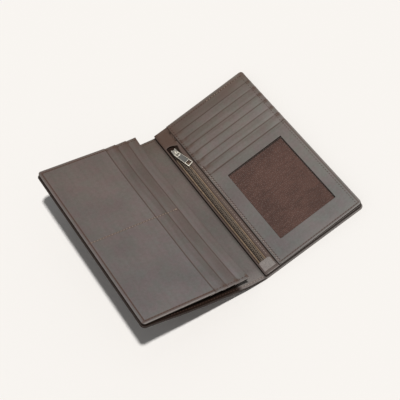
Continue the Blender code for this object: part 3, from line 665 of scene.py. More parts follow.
def ramp(tree, value, low, high, to_low=0.0, to_high=1.0):
    """Stretch a value from one range to another, and hold it at the ends."""
    inputs = {"Value": value, "From Min": low, "From Max": high, "To Min": to_low, "To Max": to_high}
    return add_node(tree, "ShaderNodeMapRange", inputs, clamp=True).outputs[0]


def noise(tree, coordinates, scale, detail=3.0, roughness=0.55):
    """Soft noise that repeats nothing."""
    inputs = {"Vector": coordinates, "Scale": scale, "Detail": detail, "Roughness": roughness}
    return add_node(tree, "ShaderNodeTexNoise", inputs).outputs[0]


def new_group(name, inputs, outputs):
    """Start a shader node group with named inputs and outputs, or find it if it is built already."""
    if name in bpy.data.node_groups:
        return bpy.data.node_groups[name], None, None
    group = bpy.data.node_groups.new(name, "ShaderNodeTree")
    kinds = {"colour": "NodeSocketColor", "value": "NodeSocketFloat", "vector": "NodeSocketVector"}
    for socket, kind in inputs.items():
        group.interface.new_socket(socket, in_out="INPUT", socket_type=kinds[kind])
    for socket, kind in outputs.items():
        group.interface.new_socket(socket, in_out="OUTPUT", socket_type=kinds[kind])
    return group, group.nodes.new("NodeGroupInput").outputs, group.nodes.new("NodeGroupOutput").inputs


def leather_grain():
    """The shared leather: cloudy colour, fine mottling, pores, burnished seams, pale rims and inked edges.

    Painted light makes it lighter and greyer towards the near end and towards the right half, and darker and
    browner towards the far end. Its rims also carry painted highlights, and its inked edges, burnished lines
    and tone carry painted shade and light.
    """
    colours = {"Leather": "colour", "Burnish": "colour", "Rim": "colour", "Ink": "colour"}
    masks = {f"{mask.capitalize()} Mask": "value" for mask in MASKS}
    outputs = {"Color": "colour", "Roughness": "value", "Height": "value"}
    group, into, out = new_group("leather_grain", {**colours, **masks, "Coordinates": "vector"}, outputs)
    if into is None:
        return group
    place = into["Coordinates"]
    cloud = noise(group, place, scale=24.0, detail=3.0)
    patch = noise(group, place, scale=95.0, detail=3.0, roughness=0.6)
    mottle = noise(group, place, scale=420.0, detail=4.0, roughness=0.65)
    pull = noise(group, place, scale=75.0, detail=3.0, roughness=0.65)
    grit = noise(group, place, scale=1100.0, detail=2.0, roughness=0.7)
    pores = add_node(group, "ShaderNodeTexVoronoi", {"Vector": place, "Scale": 1500.0}).outputs["Distance"]
    axes = add_node(group, "ShaderNodeSeparateXYZ", {0: place}).outputs
    # Painted light: lighter and greyer towards the near end, darker and browner towards the far end
    lengthwise = ramp(group, count(group, "MULTIPLY_ADD", cloud, 0.12, axes[1]), 0.06 + NEAR, 0.06 + FAR)
    tone = into["Leather"]
    for share, pair in (
        (lengthwise, LENGTHWISE_LIGHT_TINTS),
        # Painted light: lighter towards the right half
        (ramp(group, axes[0], 2 * float(FOLD[0]), 0.5 * RIGHT_WIDTH), LEFT_RIGHT_LIGHT_TINTS),
        (ramp(group, cloud, 0.3, 0.7), CLOUD_TINTS),
        (ramp(group, patch, 0.38, 0.62), PATCH_TINTS),
        # The tone mask holds streaks, and painted light and shade on the slot strips
        (ramp(group, into["Tone Mask"], -1.0, 1.0), TONE_TINTS),
        (ramp(group, mottle, 0.3, 0.7), FLECK_TINTS),
    ):
        tint = mix_colours(group, share, rgba(pair[0]), rgba(pair[1]))
        tone = mix_colours(group, 1.0, tone, tint, "MULTIPLY")
    # This mask holds burnished seams, and painted shade just beyond the slot mouths
    burnish_and_shade_share = count(group, "MULTIPLY", into["Burnish Mask"], ramp(group, mottle, 0.25, 0.7, 0.6, 1.0))
    # The rim mask holds worn rims and painted highlights, broken up by grit
    worn = count(group, "MULTIPLY", into["Rim Mask"], ramp(group, grit, 0.38, 0.58, 0.45, 1.0))
    tone = mix_colours(group, burnish_and_shade_share, tone, into["Burnish"])
    tone = mix_colours(group, worn, tone, into["Rim"])
    tone = mix_colours(group, into["Ink Mask"], tone, into["Ink"])
    group.links.new(tone, out["Color"])
    group.links.new(ramp(group, mottle, 0.3, 0.7, 0.44, 0.60), out["Roughness"])
    grain = count(group, "MULTIPLY_ADD", pores, 0.6, count(group, "MULTIPLY", mottle, 0.7))
    group.links.new(count(group, "MULTIPLY_ADD", pull, 1.2, grain), out["Height"])
    return group


def stretched(tree, coordinates, factors):
    """Coordinates scaled by a factor along each axis."""
    node = add_node(tree, "ShaderNodeVectorMath", {0: coordinates, 1: factors}, operation="MULTIPLY")
    return node.outputs[0]


def weave():
    """The shared weave: threads that pass over and under each other, with uneven rows."""
    inputs = {"Thread": "colour", "Gap": "colour", "Size": "value", "Coordinates": "vector"}
    group, into, out = new_group("weave", inputs, {"Color": "colour", "Height": "value"})
    if into is None:
        return group
    place = into["Coordinates"]
    axes = add_node(group, "ShaderNodeSeparateXYZ", {0: place}).outputs
    waves = []
    for axis in (axes[0], axes[1]):
        turn = count(group, "MULTIPLY", count(group, "DIVIDE", axis, into["Size"]), 2 * math.pi)
        waves.append(count(group, "SINE", turn))
    crossing = count(group, "MULTIPLY_ADD", count(group, "MULTIPLY", *waves), 0.5, 0.5)
    slubs = [noise(group, stretched(group, place, factors), scale=1.0, detail=3.0) for factors in SLUBS]
    band = noise(group, place, scale=26.0, detail=1.0)
    uneven = count(group, "MULTIPLY_ADD", slubs[0], 1.2, count(group, "MULTIPLY_ADD", slubs[1], 0.5, band))
    rows = ramp(group, uneven, 1.12, 1.60, 0.0, 0.9)
    share = count(group, "MULTIPLY_ADD", crossing, 0.2, rows, clamp=True)
    group.links.new(mix_colours(group, share, into["Gap"], into["Thread"]), out["Color"])
    group.links.new(crossing, out["Height"])
    return group


def tarnish():
    """The shared metal wear: cloudy tarnish, fine scratches and a roughness that follows them."""
    inputs = {"Metal": "colour", "Tarnish": "colour", "Coordinates": "vector"}
    outputs = {"Color": "colour", "Roughness": "value", "Height": "value"}
    group, into, out = new_group("tarnish", inputs, outputs)
    if into is None:
        return group
    cloud = noise(group, into["Coordinates"], scale=620.0, detail=3.0)
    scratch = noise(group, stretched(group, into["Coordinates"], SCRATCHES), scale=1.0, detail=2.0)
    dull = ramp(group, cloud, 0.44, 0.64, 0.0, 0.85)
    group.links.new(mix_colours(group, dull, into["Metal"], into["Tarnish"]), out["Color"])
    group.links.new(ramp(group, cloud, 0.3, 0.7, 0.22, 0.42), out["Roughness"])
    group.links.new(scratch, out["Height"])
    return group


def rgba(colour, share=1.0):
    """A colour with full alpha, scaled by a share."""
    return (*(channel * share for channel in colour), 1.0)


def mask_of(tree, name):
    """The value that a piece's own attribute of that name carries."""
    return add_node(tree, "ShaderNodeAttribute", attribute_name=name).outputs["Fac"]


def place_group(tree, group, inputs):
    """Place a shader node group in a material, with what goes into its sockets."""
    return add_node(tree, "ShaderNodeGroup", inputs, node_tree=group).outputs


def start_material(name):
    """A new material: its tree, its surface and its object coordinates."""
    material = bpy.data.materials.new(name)
    material.use_nodes = True
    tree = material.node_tree
    place = add_node(tree, "ShaderNodeTexCoord").outputs["Object"]
    return material, tree, tree.nodes["Principled BSDF"], place


def finish_height(tree, surface, height, strength, distance):
    """Let a height bump the surface."""
    inputs = {"Height": height, "Strength": strength, "Distance": distance}
    tree.links.new(add_node(tree, "ShaderNodeBump", inputs).outputs[0], surface.inputs["Normal"])


def leather_material(name, colour, bump=0.5):
    """Leather of one colour, with the masks that its piece carries."""
    if name in bpy.data.materials:
        return bpy.data.materials[name]
    material, tree, surface, place = start_material(name)
    settings = leather_of()
    inputs = {f"{mask.capitalize()} Mask": mask_of(tree, mask) for mask in MASKS}
    inputs["Leather"] = rgba(colour)
    inputs["Burnish"] = rgba(settings.burnish)
    inputs["Rim"] = rgba(settings.rim)
    inputs["Ink"] = rgba(settings.ink)
    inputs["Coordinates"] = place
    grain = place_group(tree, leather_grain(), inputs)
    tree.links.new(grain["Color"], surface.inputs["Base Color"])
    tree.links.new(grain["Roughness"], surface.inputs["Roughness"])
    surface.inputs["Specular IOR Level"].default_value = LEATHER_GLOSS
    finish_height(tree, surface, grain["Height"], bump, LEATHER_RELIEF)
    return material


def panel_leather():
    """The leather of the panels and the slot strips."""
    return leather_material("worn_panel_leather", leather_of().leather)


def lining_leather():
    """The thinner leather inside the cover and between the pockets."""
    return leather_material("worn_lining_leather", leather_of().lining, bump=0.8)


def weave_material(name, colour, size, bump=0.6):
    """Woven cloth of one colour. size is the width of two threads."""
    if name in bpy.data.materials:
        return bpy.data.materials[name]
    material, tree, surface, place = start_material(name)
    light, dark = CLOTH_SHARES
    inputs = {"Thread": rgba(colour, light), "Gap": rgba(colour, dark), "Size": size, "Coordinates": place}
    cloth = place_group(tree, weave(), inputs)
    # Painted shade from the piece's mask darkens the cloth
    shade = mix_colours(tree, mask_of(tree, "ink"), cloth["Color"], rgba(leather_of().ink))
    tree.links.new(shade, surface.inputs["Base Color"])
    surface.inputs["Roughness"].default_value = CLOTH_ROUGHNESS
    surface.inputs["Specular IOR Level"].default_value = CLOTH_GLOSS
    finish_height(tree, surface, cloth["Height"], bump, CLOTH_RELIEF)
    return material


def metal_material(name, colour, dull, metallic=1.0, bump=0.15, shaded=None):
    """Metal, or metal under a thin finish, with some tarnish, duller where its piece carries the worn mask.

    dull is the tarnish's share of the colour. shaded is a span of x over which painted shade darkens it to
    black, for the side of the chain that lies under the leather. The worn mask holds patina in recesses and
    painted shade.
    """
    material, tree, surface, place = start_material(name)
    inputs = {"Metal": rgba(colour), "Tarnish": rgba(colour, dull), "Coordinates": place}
    wear = place_group(tree, tarnish(), inputs)
    worn = rgba(bpy.context.scene.wallet_zip.worn)
    finish = mix_colours(tree, mask_of(tree, "worn"), wear["Color"], worn)
    if shaded:
        across = add_node(tree, "ShaderNodeSeparateXYZ", {0: place}).outputs[0]
        finish = mix_colours(tree, ramp(tree, across, *shaded), rgba(leather_of().ink), finish)
    tree.links.new(finish, surface.inputs["Base Color"])
    tree.links.new(wear["Roughness"], surface.inputs["Roughness"])
    surface.inputs["Metallic"].default_value = metallic
    finish_height(tree, surface, wear["Height"], bump, METAL_RELIEF)
    return material


def thread_material(name, colour):
    """Waxed thread, a little darker in places."""
    material, tree, surface, place = start_material(name)
    fleck = noise(tree, place, scale=1800.0, detail=2.0)
    light, dark = THREAD_SHARES
    shade = mix_colours(tree, ramp(tree, fleck, 0.35, 0.65), rgba(colour, dark), rgba(colour, light))
    tree.links.new(shade, surface.inputs["Base Color"])
    surface.inputs["Roughness"].default_value = THREAD_ROUGHNESS
    surface.inputs["Specular IOR Level"].default_value = THREAD_GLOSS
    finish_height(tree, surface, fleck, THREAD_BUMP, THREAD_RELIEF)
    return material


def film_material():
    """Clear film: faint, smooth and nearly all see-through."""
    material, tree, surface, place = start_material("window_film_clear")
    haze = noise(tree, place, scale=40.0, detail=2.0)
    tree.links.new(ramp(tree, haze, 0.3, 0.7, *FILM_ROUGHNESS), surface.inputs["Roughness"])
    surface.inputs["Base Color"].default_value = rgba(FILM_COLOUR)
    surface.inputs["Alpha"].default_value = FILM_ALPHA
    return material


def seam_masks(distance, line, burnish=1.0):
    """The masks of a sewn slab: a burnished needle's line, a pale rim above, and an inked edge painted as
    shade below.
    """
    return {
        "burnish": burnish * ridge(distance - line, 0.5 * MM),
        "rim": 0.5 * ridge(distance, 0.65 * MM) * UPPER_FACE,
        "ink": before(distance, 1.5 * MM, 1.0 * MM) * (1.0 - UPPER_FACE),
    }


def streaks(across, along, start=0.0):
    """Long soft stripes: sines of the place across the strip, whose phases drift along its length."""
    drift = np.sin(2 * math.pi * along / (83.0 * MM) + start)
    waves = 0.35 * np.sin(2 * math.pi * across / (7.3 * MM) + 1.3 * drift + start)
    waves = waves + 0.25 * np.sin(2 * math.pi * across / (3.9 * MM) + 0.9 * drift + 2.3 * start)
    return waves + 0.4 * np.sin(2 * math.pi * (along / (67.0 * MM) + across / (43.0 * MM)) + 3.1 * start)


def groove(distance, line):
    """How far the leather is pulled down along the needle's line: a ridge turned over."""
    return GROOVE_DEPTH * ridge(distance - line, GROOVE_WIDTH)


def mouth_lip(from_mouth):
    """The dip just behind a slot's mouth, which leaves a soft lip."""
    return 0.06 * MM * ridge(from_mouth - 1.4 * MM, 0.8 * MM)


def turned_rim(distance):
    """1 where the leather is turned down at its edge, falling to 0 just inside it."""
    return before(distance, TURNED_RIM, 0.3 * MM)


def ripple(x, y, height, length, start=0.0):
    """Soft unevenness of laid leather: three long sine waves that cross each other."""
    turn = 2 * math.pi / length
    waves = np.sin(turn * (x + 0.37 * y) + start) + np.sin(turn * 0.61 * (y - 0.52 * x) + 1.9 * start)
    return height * (waves + np.sin(turn * 1.43 * (0.8 * x - 0.3 * y) + 2.7 * start)) / 3


def pressed(points):
    """Lower the card panel towards the zip, where it is sewn down.

    The fall is a straight slope across the panel, in the share of its height that a layer lies at.
    """
    x, y, z = np.moveaxis(points, -1, 0)
    share = (PANEL_HIGH[0] - x) / (PANEL_HIGH[0] - PANEL_LOW[0])
    fall = PRESSED * share * np.clip((z - BASE_LOW[2]) / (PANEL_HIGH[2] - BASE_LOW[2]), 0.0, 1.2)
    return np.stack((x, y, z - fall), -1)


def bowed(points):
    """Draw the page's free edge in along its middle.

    The bow is a straight skew and a fourth power of the place along the edge, and grows from the hinge.
    """
    x, y, z = np.moveaxis(points, -1, 0)
    along = y / FAR
    bow = (-2.2 - 1.6 * along + 2.6 * along**4) * MM
    return np.stack((x + bow * np.clip(x / PAGE_EDGE_HIGH[0], 0.0, 1.1) ** 1.3, y, z), -1)


def add_card_leather(name, points, faces, node, masks):
    """Add a leather piece of the right half."""
    add_piece(name, points, faces, panel_leather(), "right_half", [node], masks)


def add_page_leather(name, points, faces, node, masks):
    """Add a leather piece of the page, carried from the flat page to the raised one."""
    add_piece(name, on_page(points), faces, panel_leather(), "page", [node], masks)


def stepped(place, top, mouths, pitch, edge):
    """Height of a face with slots: each strip slopes down to the next slot's mouth, by one step.

    So does the strip between the first mouth and the edge.
    """
    height = np.full(np.shape(place), top)
    for mouth in mouths:
        on_strip = (place <= mouth) & (place > mouth - pitch)
        height = np.where(on_strip, top - STEP * (mouth - place) / pitch, height)
    return np.where(place > mouths[0], top - STEP * (edge - place) / (edge - mouths[0]), height)


def build_cover():
    """The outer leather and the lining, each in two pieces that meet in the middle of the spine."""
    cover = leather_material("worn_cover_leather", leather_of().leather)
    heights = (RIGHT_LOW[2], RIGHT_HIGH[2], LINING_LOW[2])
    cover_low, cover_high, lining_low = (height - FOLD[2] for height in heights)
    half = SPINE_WIDTH / 2
    for name, material, inset, low, high, rounding, bead in (
        ("cover", cover, 0.0, cover_low, cover_high, SMALL_RADIUS, BEAD_RISE),
        ("lining", lining_leather(), LINING_INSET, lining_low, 0.0, THIN_EDGE, 0.0),
    ):
        for side, way, x_span, free, nodes in (
            ("right", 1, (-half, RIGHT_WIDTH - inset), "left", ("right", "spine")),
            ("left", -1, (LEFT_END + inset, -half), "right", ("left",)),
        ):
            flat, faces, distance = slab(
                (x_span, (NEAR + inset, FAR - inset)),
                ((rounding, COVER_RADIUS, 1.4 * MM), (rounding, COVER_RADIUS, 5.0 * MM)),
                lambda x, y, d: high + bead * before(d, BEAD_WIDTH, 0.35 * MM) - groove(d, COVER_STITCH),
                lambda x, y, d: low + groove(d, COVER_STITCH) * (name == "cover"),
                rounding,
                ((way, 1), (way, -1)),
                COVER_RADIUS - inset,
                free,
            )
            masks = seam_masks(distance, COVER_STITCH - inset)
            if name == "cover":
                masks.update(cover_masks(flat[..., 0], distance, masks["ink"]))
            else:
                masks.update(lining_masks(flat[..., 0], flat[..., 1], masks["ink"]))
            replaced = [f"{node}_{name}" for node in nodes]
            piece = add_piece(f"{name}_{side}", folded(flat), faces, material, None, replaced, masks)
            bend_at_crease(piece)


def cover_masks(from_fold, distance, ink):
    """The cover's own masks: painted shade on the face below the pockets, and inked edges painted as shade
    round the edge. On the left the bead is painted nearly black as shade in the compartment's gap, with a
    little brown; on the right it is painted pale grey, a stand-in for the soft shadow on the floor.
    """
    right = after(from_fold, -1.0 * MM, 2.0 * MM)
    left = 1.0 - right
    beyond = after(distance, 0.8 * MM, 0.4 * MM) * before(distance, 3.0 * MM, 1.0 * MM)
    bead = before(distance, 1.4 * MM, 1.0 * MM)
    side = strongest(before(distance, 0.45 * MM, 0.3 * MM), 0.85 * bead * left)
    edge = side * UPPER_FACE + bead * (1.0 - UPPER_FACE)
    return {
        "ink": strongest(right * beyond * UPPER_FACE, left * ink, edge * (0.95 - 0.6 * right)),
        "rim": bead * (0.5 * right + 0.1 * left * UPPER_FACE),
        "burnish": 0.2 * bead * left,
    }


def lining_masks(from_fold, y, ink):
    """The lining's own masks: painted shade in the compartment and down in the fold, paler towards the near
    end and darker towards the far end.
    """
    # Painted shade inside the compartment, under the page
    inside = before(from_fold, LEFT_END + PAGE_EDGE_HIGH[0] - 1.0 * MM, 6.0 * MM)
    # Painted shade down in the fold
    fold = 0.55 * after(from_fold, -2.0 * MM, 2.0 * MM)
    lengthwise = before(y, NEAR + 15.0 * MM, 9.0 * MM)
    far_part = after(y, FAR - 28.0 * MM, 20.0 * MM)
    return {
        "ink": strongest(inside, fold, ink),
        "tone": 0.15 * streaks(from_fold, y, 0.7) + 0.3 * lengthwise - 0.8 * far_part,
        "rim": 0.4 * lengthwise * UPPER_FACE,
    }


def bend_at_crease(piece):
    """Bake the piece's placement into its mesh."""
    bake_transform(piece)


def build_zip_panel():
    """The leather round the zip, its tab, and the cloth pouch below."""
    build_zip_surround()
    build_zip_tab()
    build_pouch()


def build_zip_surround():
    """The leather round the zip: a profile of its edge, its face and the opening's rim, carried round."""
    x_span, y_span = spans(ZIP_LOW, ZIP_HIGH)
    opening_x = (FOLD[0] + ZIP_OPENING[0], FOLD[0] + ZIP_OPENING[1])
    opening_y = (NEAR + ZIP_OPENING[2], FAR - ZIP_OPENING[3])
    low = ZIP_LOW[2]
    high = ZIP_HIGH[2]
    under = high - 1.0 * MM
    close = 1.0 - np.linspace(7.0, 0.0, 18) * MM / (x_span[1] - opening_x[1])
    profile = [
        ("outer", 0.5 * MM, low),
        ("outer", 0.15 * MM, low + 0.15 * MM),
        ("outer", 0.15 * MM, low + 0.45 * MM),
        ("outer", 0.7 * MM, low + 0.65 * MM),
        ("outer", 2.4 * MM, low + 1.0 * MM),
        ("outer", 2.7 * MM, low + 1.5 * MM),
        ("outer", 2.4 * MM, low + 2.0 * MM),
        ("outer", 0.8 * MM, under - 0.1 * MM),
        ("outer", 0.15 * MM, under + 0.05 * MM),
        ("outer", 0.0, under + 0.4 * MM),
        ("outer", 0.12 * MM, high - 0.2 * MM),
        ("outer", 0.45 * MM, high - 0.02 * MM),
        *(("between", share, high) for share in np.concatenate((np.linspace(0.0, 0.9, 8), close))),
        ("inner", 0.5 * MM, high - 0.03 * MM),
        ("inner", 0.12 * MM, high - 0.2 * MM),
        ("inner", 0.0, high - 0.5 * MM),
        ("inner", 0.12 * MM, under + 0.15 * MM),
        ("inner", 0.6 * MM, under),
        ("outer", 3.2 * MM, under),
        ("outer", 3.2 * MM, low),
    ]
    outer = (x_span, y_span, (PANEL_RADIUS, SMALL_RADIUS, SMALL_RADIUS, PANEL_RADIUS))
    inner = (opening_x, opening_y, (1.2 * MM,) * 4)
    points, faces = framed(profile, outer, inner, (0.22, 1.0, 1.0, 1.0))
    x, y, z = np.moveaxis(points, -1, 0)
    from_fold = x - FOLD[0]
    side = side_distance(x, y, x_span, y_span, "right")
    in_zip = after(y, opening_y[0], 1.0 * MM) * before(y, opening_y[1], 1.0 * MM)
    far_part = after(y, opening_y[1] - 3.0 * MM, 6.0 * MM)
    near_part = 0.6 * before(y, NEAR + 7.5 * MM, 3.0 * MM)
    foot = 0.1 * before(z, low + 0.8 * MM, 0.4 * MM) * (side < 0.8 * MM)
    beside = after(y, TAPE_SHADE, 4.0 * MM) * before(y, opening_y[1], 2.0 * MM)
    panel_edge = (16.0 - 0.6 * far_part) * MM
    # Painted shade on the walls below the top face (less at their foot), down in the fold, in a line along the
    # card panel's edge and in a line beside the opening near the slider; the rim is a pale worn rim, paler
    # towards the near end
    masks = {
        "burnish": strongest(0.85 * in_zip, far_part, near_part),
        "tone": 0.3 * in_zip - 1.5 * far_part,
        "ink": strongest(
            before(z, high - 0.25 * MM, 0.3 * MM) - foot,
            0.45 * before(from_fold, 2.8 * MM, 2.0 * MM),
            1.25 * ridge(from_fold - panel_edge, 0.6 * MM),
            0.9 * ridge(from_fold - 11.2 * MM, 0.8 * MM) * beside,
        ),
        "rim": (0.7 + 0.3 * near_part) * ridge(side, 0.6 * MM) * (from_fold > 3.0 * MM),
    }
    corner = ridge(x - opening_x[1], 3.0 * MM) * ridge(y - opening_y[1], 7.0 * MM)
    points = points + corner[..., None] * np.array(ZIP_CORNER_SAG)
    add_card_leather("zip_surround", points, faces, "zip_panel", masks)


def build_zip_tab():
    """The leather tab over the zip's near end: a small slab with two round corners."""
    tab_x, tab_y = spans(TAB_LOW, TAB_HIGH)
    points, faces, distance = slab(
        (tab_x, (tab_y[0] - TAB_NEARER, tab_y[1] - TAB_NEARER)),
        ((0.15 * MM, 2.4 * MM, 0.8 * MM),) * 2,
        lambda x, y, d: TAB_HIGH[2] + 0.15 * MM * after(d, 0.0, 2.0 * MM) + ripple(x, y, 0.05 * MM, 3.1 * MM),
        level(TAB_LOW[2]),
        0.15 * MM,
        ((1, 1), (-1, 1)),
        2.4 * MM,
    )
    masks = {"rim": np.full(distance.shape, 0.8), "burnish": np.clip(1.0 - distance / MM, 0.0, 0.7)}
    worn = leather_material("worn_tab_leather", leather_of().leather, bump=1.8)
    add_piece("zip_tab", points, faces, worn, "right_half", ["zip_end_tab"], masks)


def build_pouch():
    """The cloth pouch below the zip: a slab with soft ripples, and a channel under the teeth."""
    channel = (TEETH_LOW[0] + TEETH_HIGH[0]) / 2

    def upper(x, y, d):
        """The pouch's top, pressed down along the channel."""
        dip = 1.25 * MM * before(np.abs(x - channel), 7.0 * MM, 2.0 * MM)
        return BAG_HIGH[2] - 0.6 * MM - dip - np.abs(ripple(x, y, 0.2 * MM, 23.0 * MM))

    points, faces, _ = slab(
        spans(BAG_LOW, BAG_HIGH),
        ((0.5 * MM, 6.0 * MM, 1.6 * MM), (0.5 * MM, 6.0 * MM, 5.0 * MM)),
        upper,
        level(BAG_LOW[2]),
        0.2 * MM,
        ((1, 1), (-1, 1), (1, -1), (-1, -1)),
        4.0 * MM,
    )
    cloth = weave_material("pouch_cloth", leather_of().cloth, 0.5 * MM)
    # Painted shade on the pouch under the zip's channel
    masks = {"ink": 0.9 * before(np.abs(points[..., 0] - channel), 9.0 * MM, 2.0 * MM)}
    add_piece("coin_pouch", points, faces, cloth, "right_half", ["coin_bag"], masks)


def build_zip():
    """The woven tapes, and the finishes of the metal parts."""
    colours = bpy.context.scene.wallet_zip
    tape = weave_material("woven_zip_tape", colours.tape, 0.6 * MM, bump=0.8)
    for name, x_span, dome in (
        ("left_tape", (FOLD[0] + 2.80 * MM, TEETH_LOW[0] - 0.40 * MM), 0.75 * MM),
        ("right_tape", (TEETH_HIGH_X + 0.25 * MM, FOLD[0] + 13.4 * MM), 0.30 * MM),
    ):
        low, high = flat_box(name)
        cord = x_span[0] + 0.75 * MM
        points, faces, _ = slab(
            (x_span, (low[1], high[1])),
            ((0.12 * MM, 0.3 * MM, 0.15 * MM), (0.15 * MM, 1.0 * MM, 3.0 * MM)),
            lambda x, y, d: high[2] + dome * ridge(x - cord, 0.65 * MM),
            level(low[2]),
            0.12 * MM,
        )
        # Painted shade on the tapes towards the far end, round the slider
        masks = {"ink": after(points[..., 1], TAPE_SHADE, 6.0 * MM)}
        add_piece(f"woven_{name}", points, faces, tape, "right_half", [name], masks)
    chain = float(TEETH_LOW[0])
    # Painted shade on the side of the chain that lies under the leather
    shaded = (chain + 0.4 * MM, chain + CHAIN_SIDE)
    teeth = metal_material("dark_zip_metal", colours.teeth, 0.55, metallic=0.35, bump=0.3, shaded=shaded)
    silver = metal_material("old_silver", colours.silver, 0.3)
    for node in ("left_teeth", "right_teeth"):
        finish_node(node, teeth)
    for node in ("left_top_stop", "right_top_stop", "bottom_stop", "slider_base"):
        finish_node(node, silver)
    cast_copy("slider_body", "slider", silver, 0.22 * MM, (-1.0, 0.0), (0.80, 0.80), 0.7)
    cast_copy("pull", "pull", silver, 0.14 * MM, JOINTS["pull_hinge"]["axis"][:2], (0.74, 0.92), 1.0)


def cast_copy(node, body, material, edge, axis, narrow, worn):
    """Round the edges of a die-cast part: a copy of its node, merged, its flats joined, and bevelled.

    narrow scales its width, along the axis, at the pull's hinge and at the far end, with a straight line
    between. worn is how dull it is below its upper face, which is patina in the recesses and painted shade; a
    strip along the pull's one long side is dulled as painted shade too.
    """
    mesh = frame["nodes"][node].data.copy()
    form = bmesh.new()
    form.from_mesh(mesh)
    bmesh.ops.remove_doubles(form, verts=form.verts, dist=0.01 * MM)
    bmesh.ops.dissolve_limit(form, angle_limit=FLAT_WITHIN, verts=form.verts, edges=form.edges)
    form.to_mesh(mesh)
    form.free()
    points = np.empty(len(mesh.vertices) * 3, np.float32)
    mesh.vertices.foreach_get("co", points)
    points = points.reshape(-1, 3)
    axis = np.array(axis)
    way = np.array((-axis[1], axis[0]))
    from_hinge = points[:, :2] - JOINTS["pull_hinge"]["pos_m"][:2]
    across = from_hinge @ axis
    along = from_hinge @ way
    scale = np.interp(along / along.max(), (0.0, 1.0), narrow)
    dull = worn * after(points[:, 2].max() - points[:, 2], 0.05 * MM, 0.2 * MM)
    width = across
    if node == "pull":
        # Painted shade on a strip along the pull's one long side
        shaded = (across < -2.0 * MM) & (along > 4.0 * MM) & (along < 15.4 * MM)
        dull = np.maximum(dull, shaded)
        width = np.sign(across) * np.interp(np.abs(across), *PULL_ACROSS)
        reach = np.where(along > 0.0, np.interp(along, *PULL_ALONG), along)
        points[:, :2] += (reach - along)[:, None] * way
    points[:, :2] += (width * scale - across)[:, None] * axis
    mesh.vertices.foreach_set("co", points.ravel())
    mesh.attributes.new("worn", "FLOAT", "POINT").data.foreach_set("value", dull.astype(np.float32))
    mesh.materials.clear()
    mesh.materials.append(material)
    mesh.polygons.foreach_set("use_smooth", np.ones(len(mesh.polygons), bool))
    piece = bpy.data.objects.new(f"cast_{node}", mesh)
    bpy.context.scene.collection.objects.link(piece)
    bevel = piece.modifiers.new("rounded", "BEVEL")
    bevel.width = edge
    bevel.segments = 3
    bevel.limit_method = "ANGLE"
    bevel.angle_limit = SHARP_OVER
    bevel.harden_normals = True
    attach(piece, body)
    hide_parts(node)


def finish_node(node, material):
    """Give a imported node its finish."""
    slots = frame["nodes"][node].data.materials
    if len(slots):
        for number in range(len(slots)):
            slots[number] = material
    else:
        slots.append(material)


def build_card_pockets():
    """The right half's slot strips, the strip at its far end, and the leather below them."""
    x_span = (PANEL_LOW[0], PANEL_HIGH[0])
    base_y = (BASE_LOW[1], BASE_HIGH[1])
    points, faces, distance = slab(
        (x_span, base_y), BACKING_GRIDS, level(BASE_HIGH[2]), level(BASE_LOW[2]), 0.2 * MM, ((1, 1), (1, -1))
    )
    # Painted shade round the edges, in the gaps between the layers
    masks = {"ink": before(distance, 2.0 * MM, 1.0 * MM)}
    lining = lining_leather()
    points = pressed(points)
    add_piece("pocket_base", points, faces, lining, "right_half", ["card_base"], masks)
    for number, (node, mouth) in enumerate(zip(CARD_STRIPS, MOUTHS)):
        strip_y = (float(flat_box(node)[0][1]), mouth)

        def upper(x, y, d, mouth=mouth, number=number):
            """The strip's slope, drawn down along the side seams, with a soft lip at the mouth."""
            side = np.minimum(x - x_span[0], x_span[1] - x)
            slope = PANEL_HIGH[2] - STEP * (mouth - y) / SLOT_PITCH
            uneven = ripple(x, y, 0.05 * MM, 31.0 * MM, 1.3 * number)
            return slope - groove(side, PANEL_STITCH) - mouth_lip(mouth - y) + uneven

        points, faces, distance = slab(
            (x_span, strip_y),
            ((THIN_EDGE, 9.0 * MM, 3.0 * MM), (THIN_EDGE, 3.0 * MM, 1.2 * MM)),
            upper,
            lambda x, y, d: upper(x, y, d) - LEATHER,
            THIN_EDGE,
            fine=((), under_lip(mouth - SLOT_PITCH)),
        )
        x, y = points[..., 0], points[..., 1]
        masks = strip_masks(x, x_span, mouth - y, SLOT_PITCH, number, PANEL_STITCH, 1)
        # Painted shade along the edge beside the zip
        masks["ink"] = strongest(masks["ink"], inner_shade(x, y))
        add_card_leather(f"slot_{number + 1}", pressed(points), faces, node, masks)
    build_far_strip(x_span)


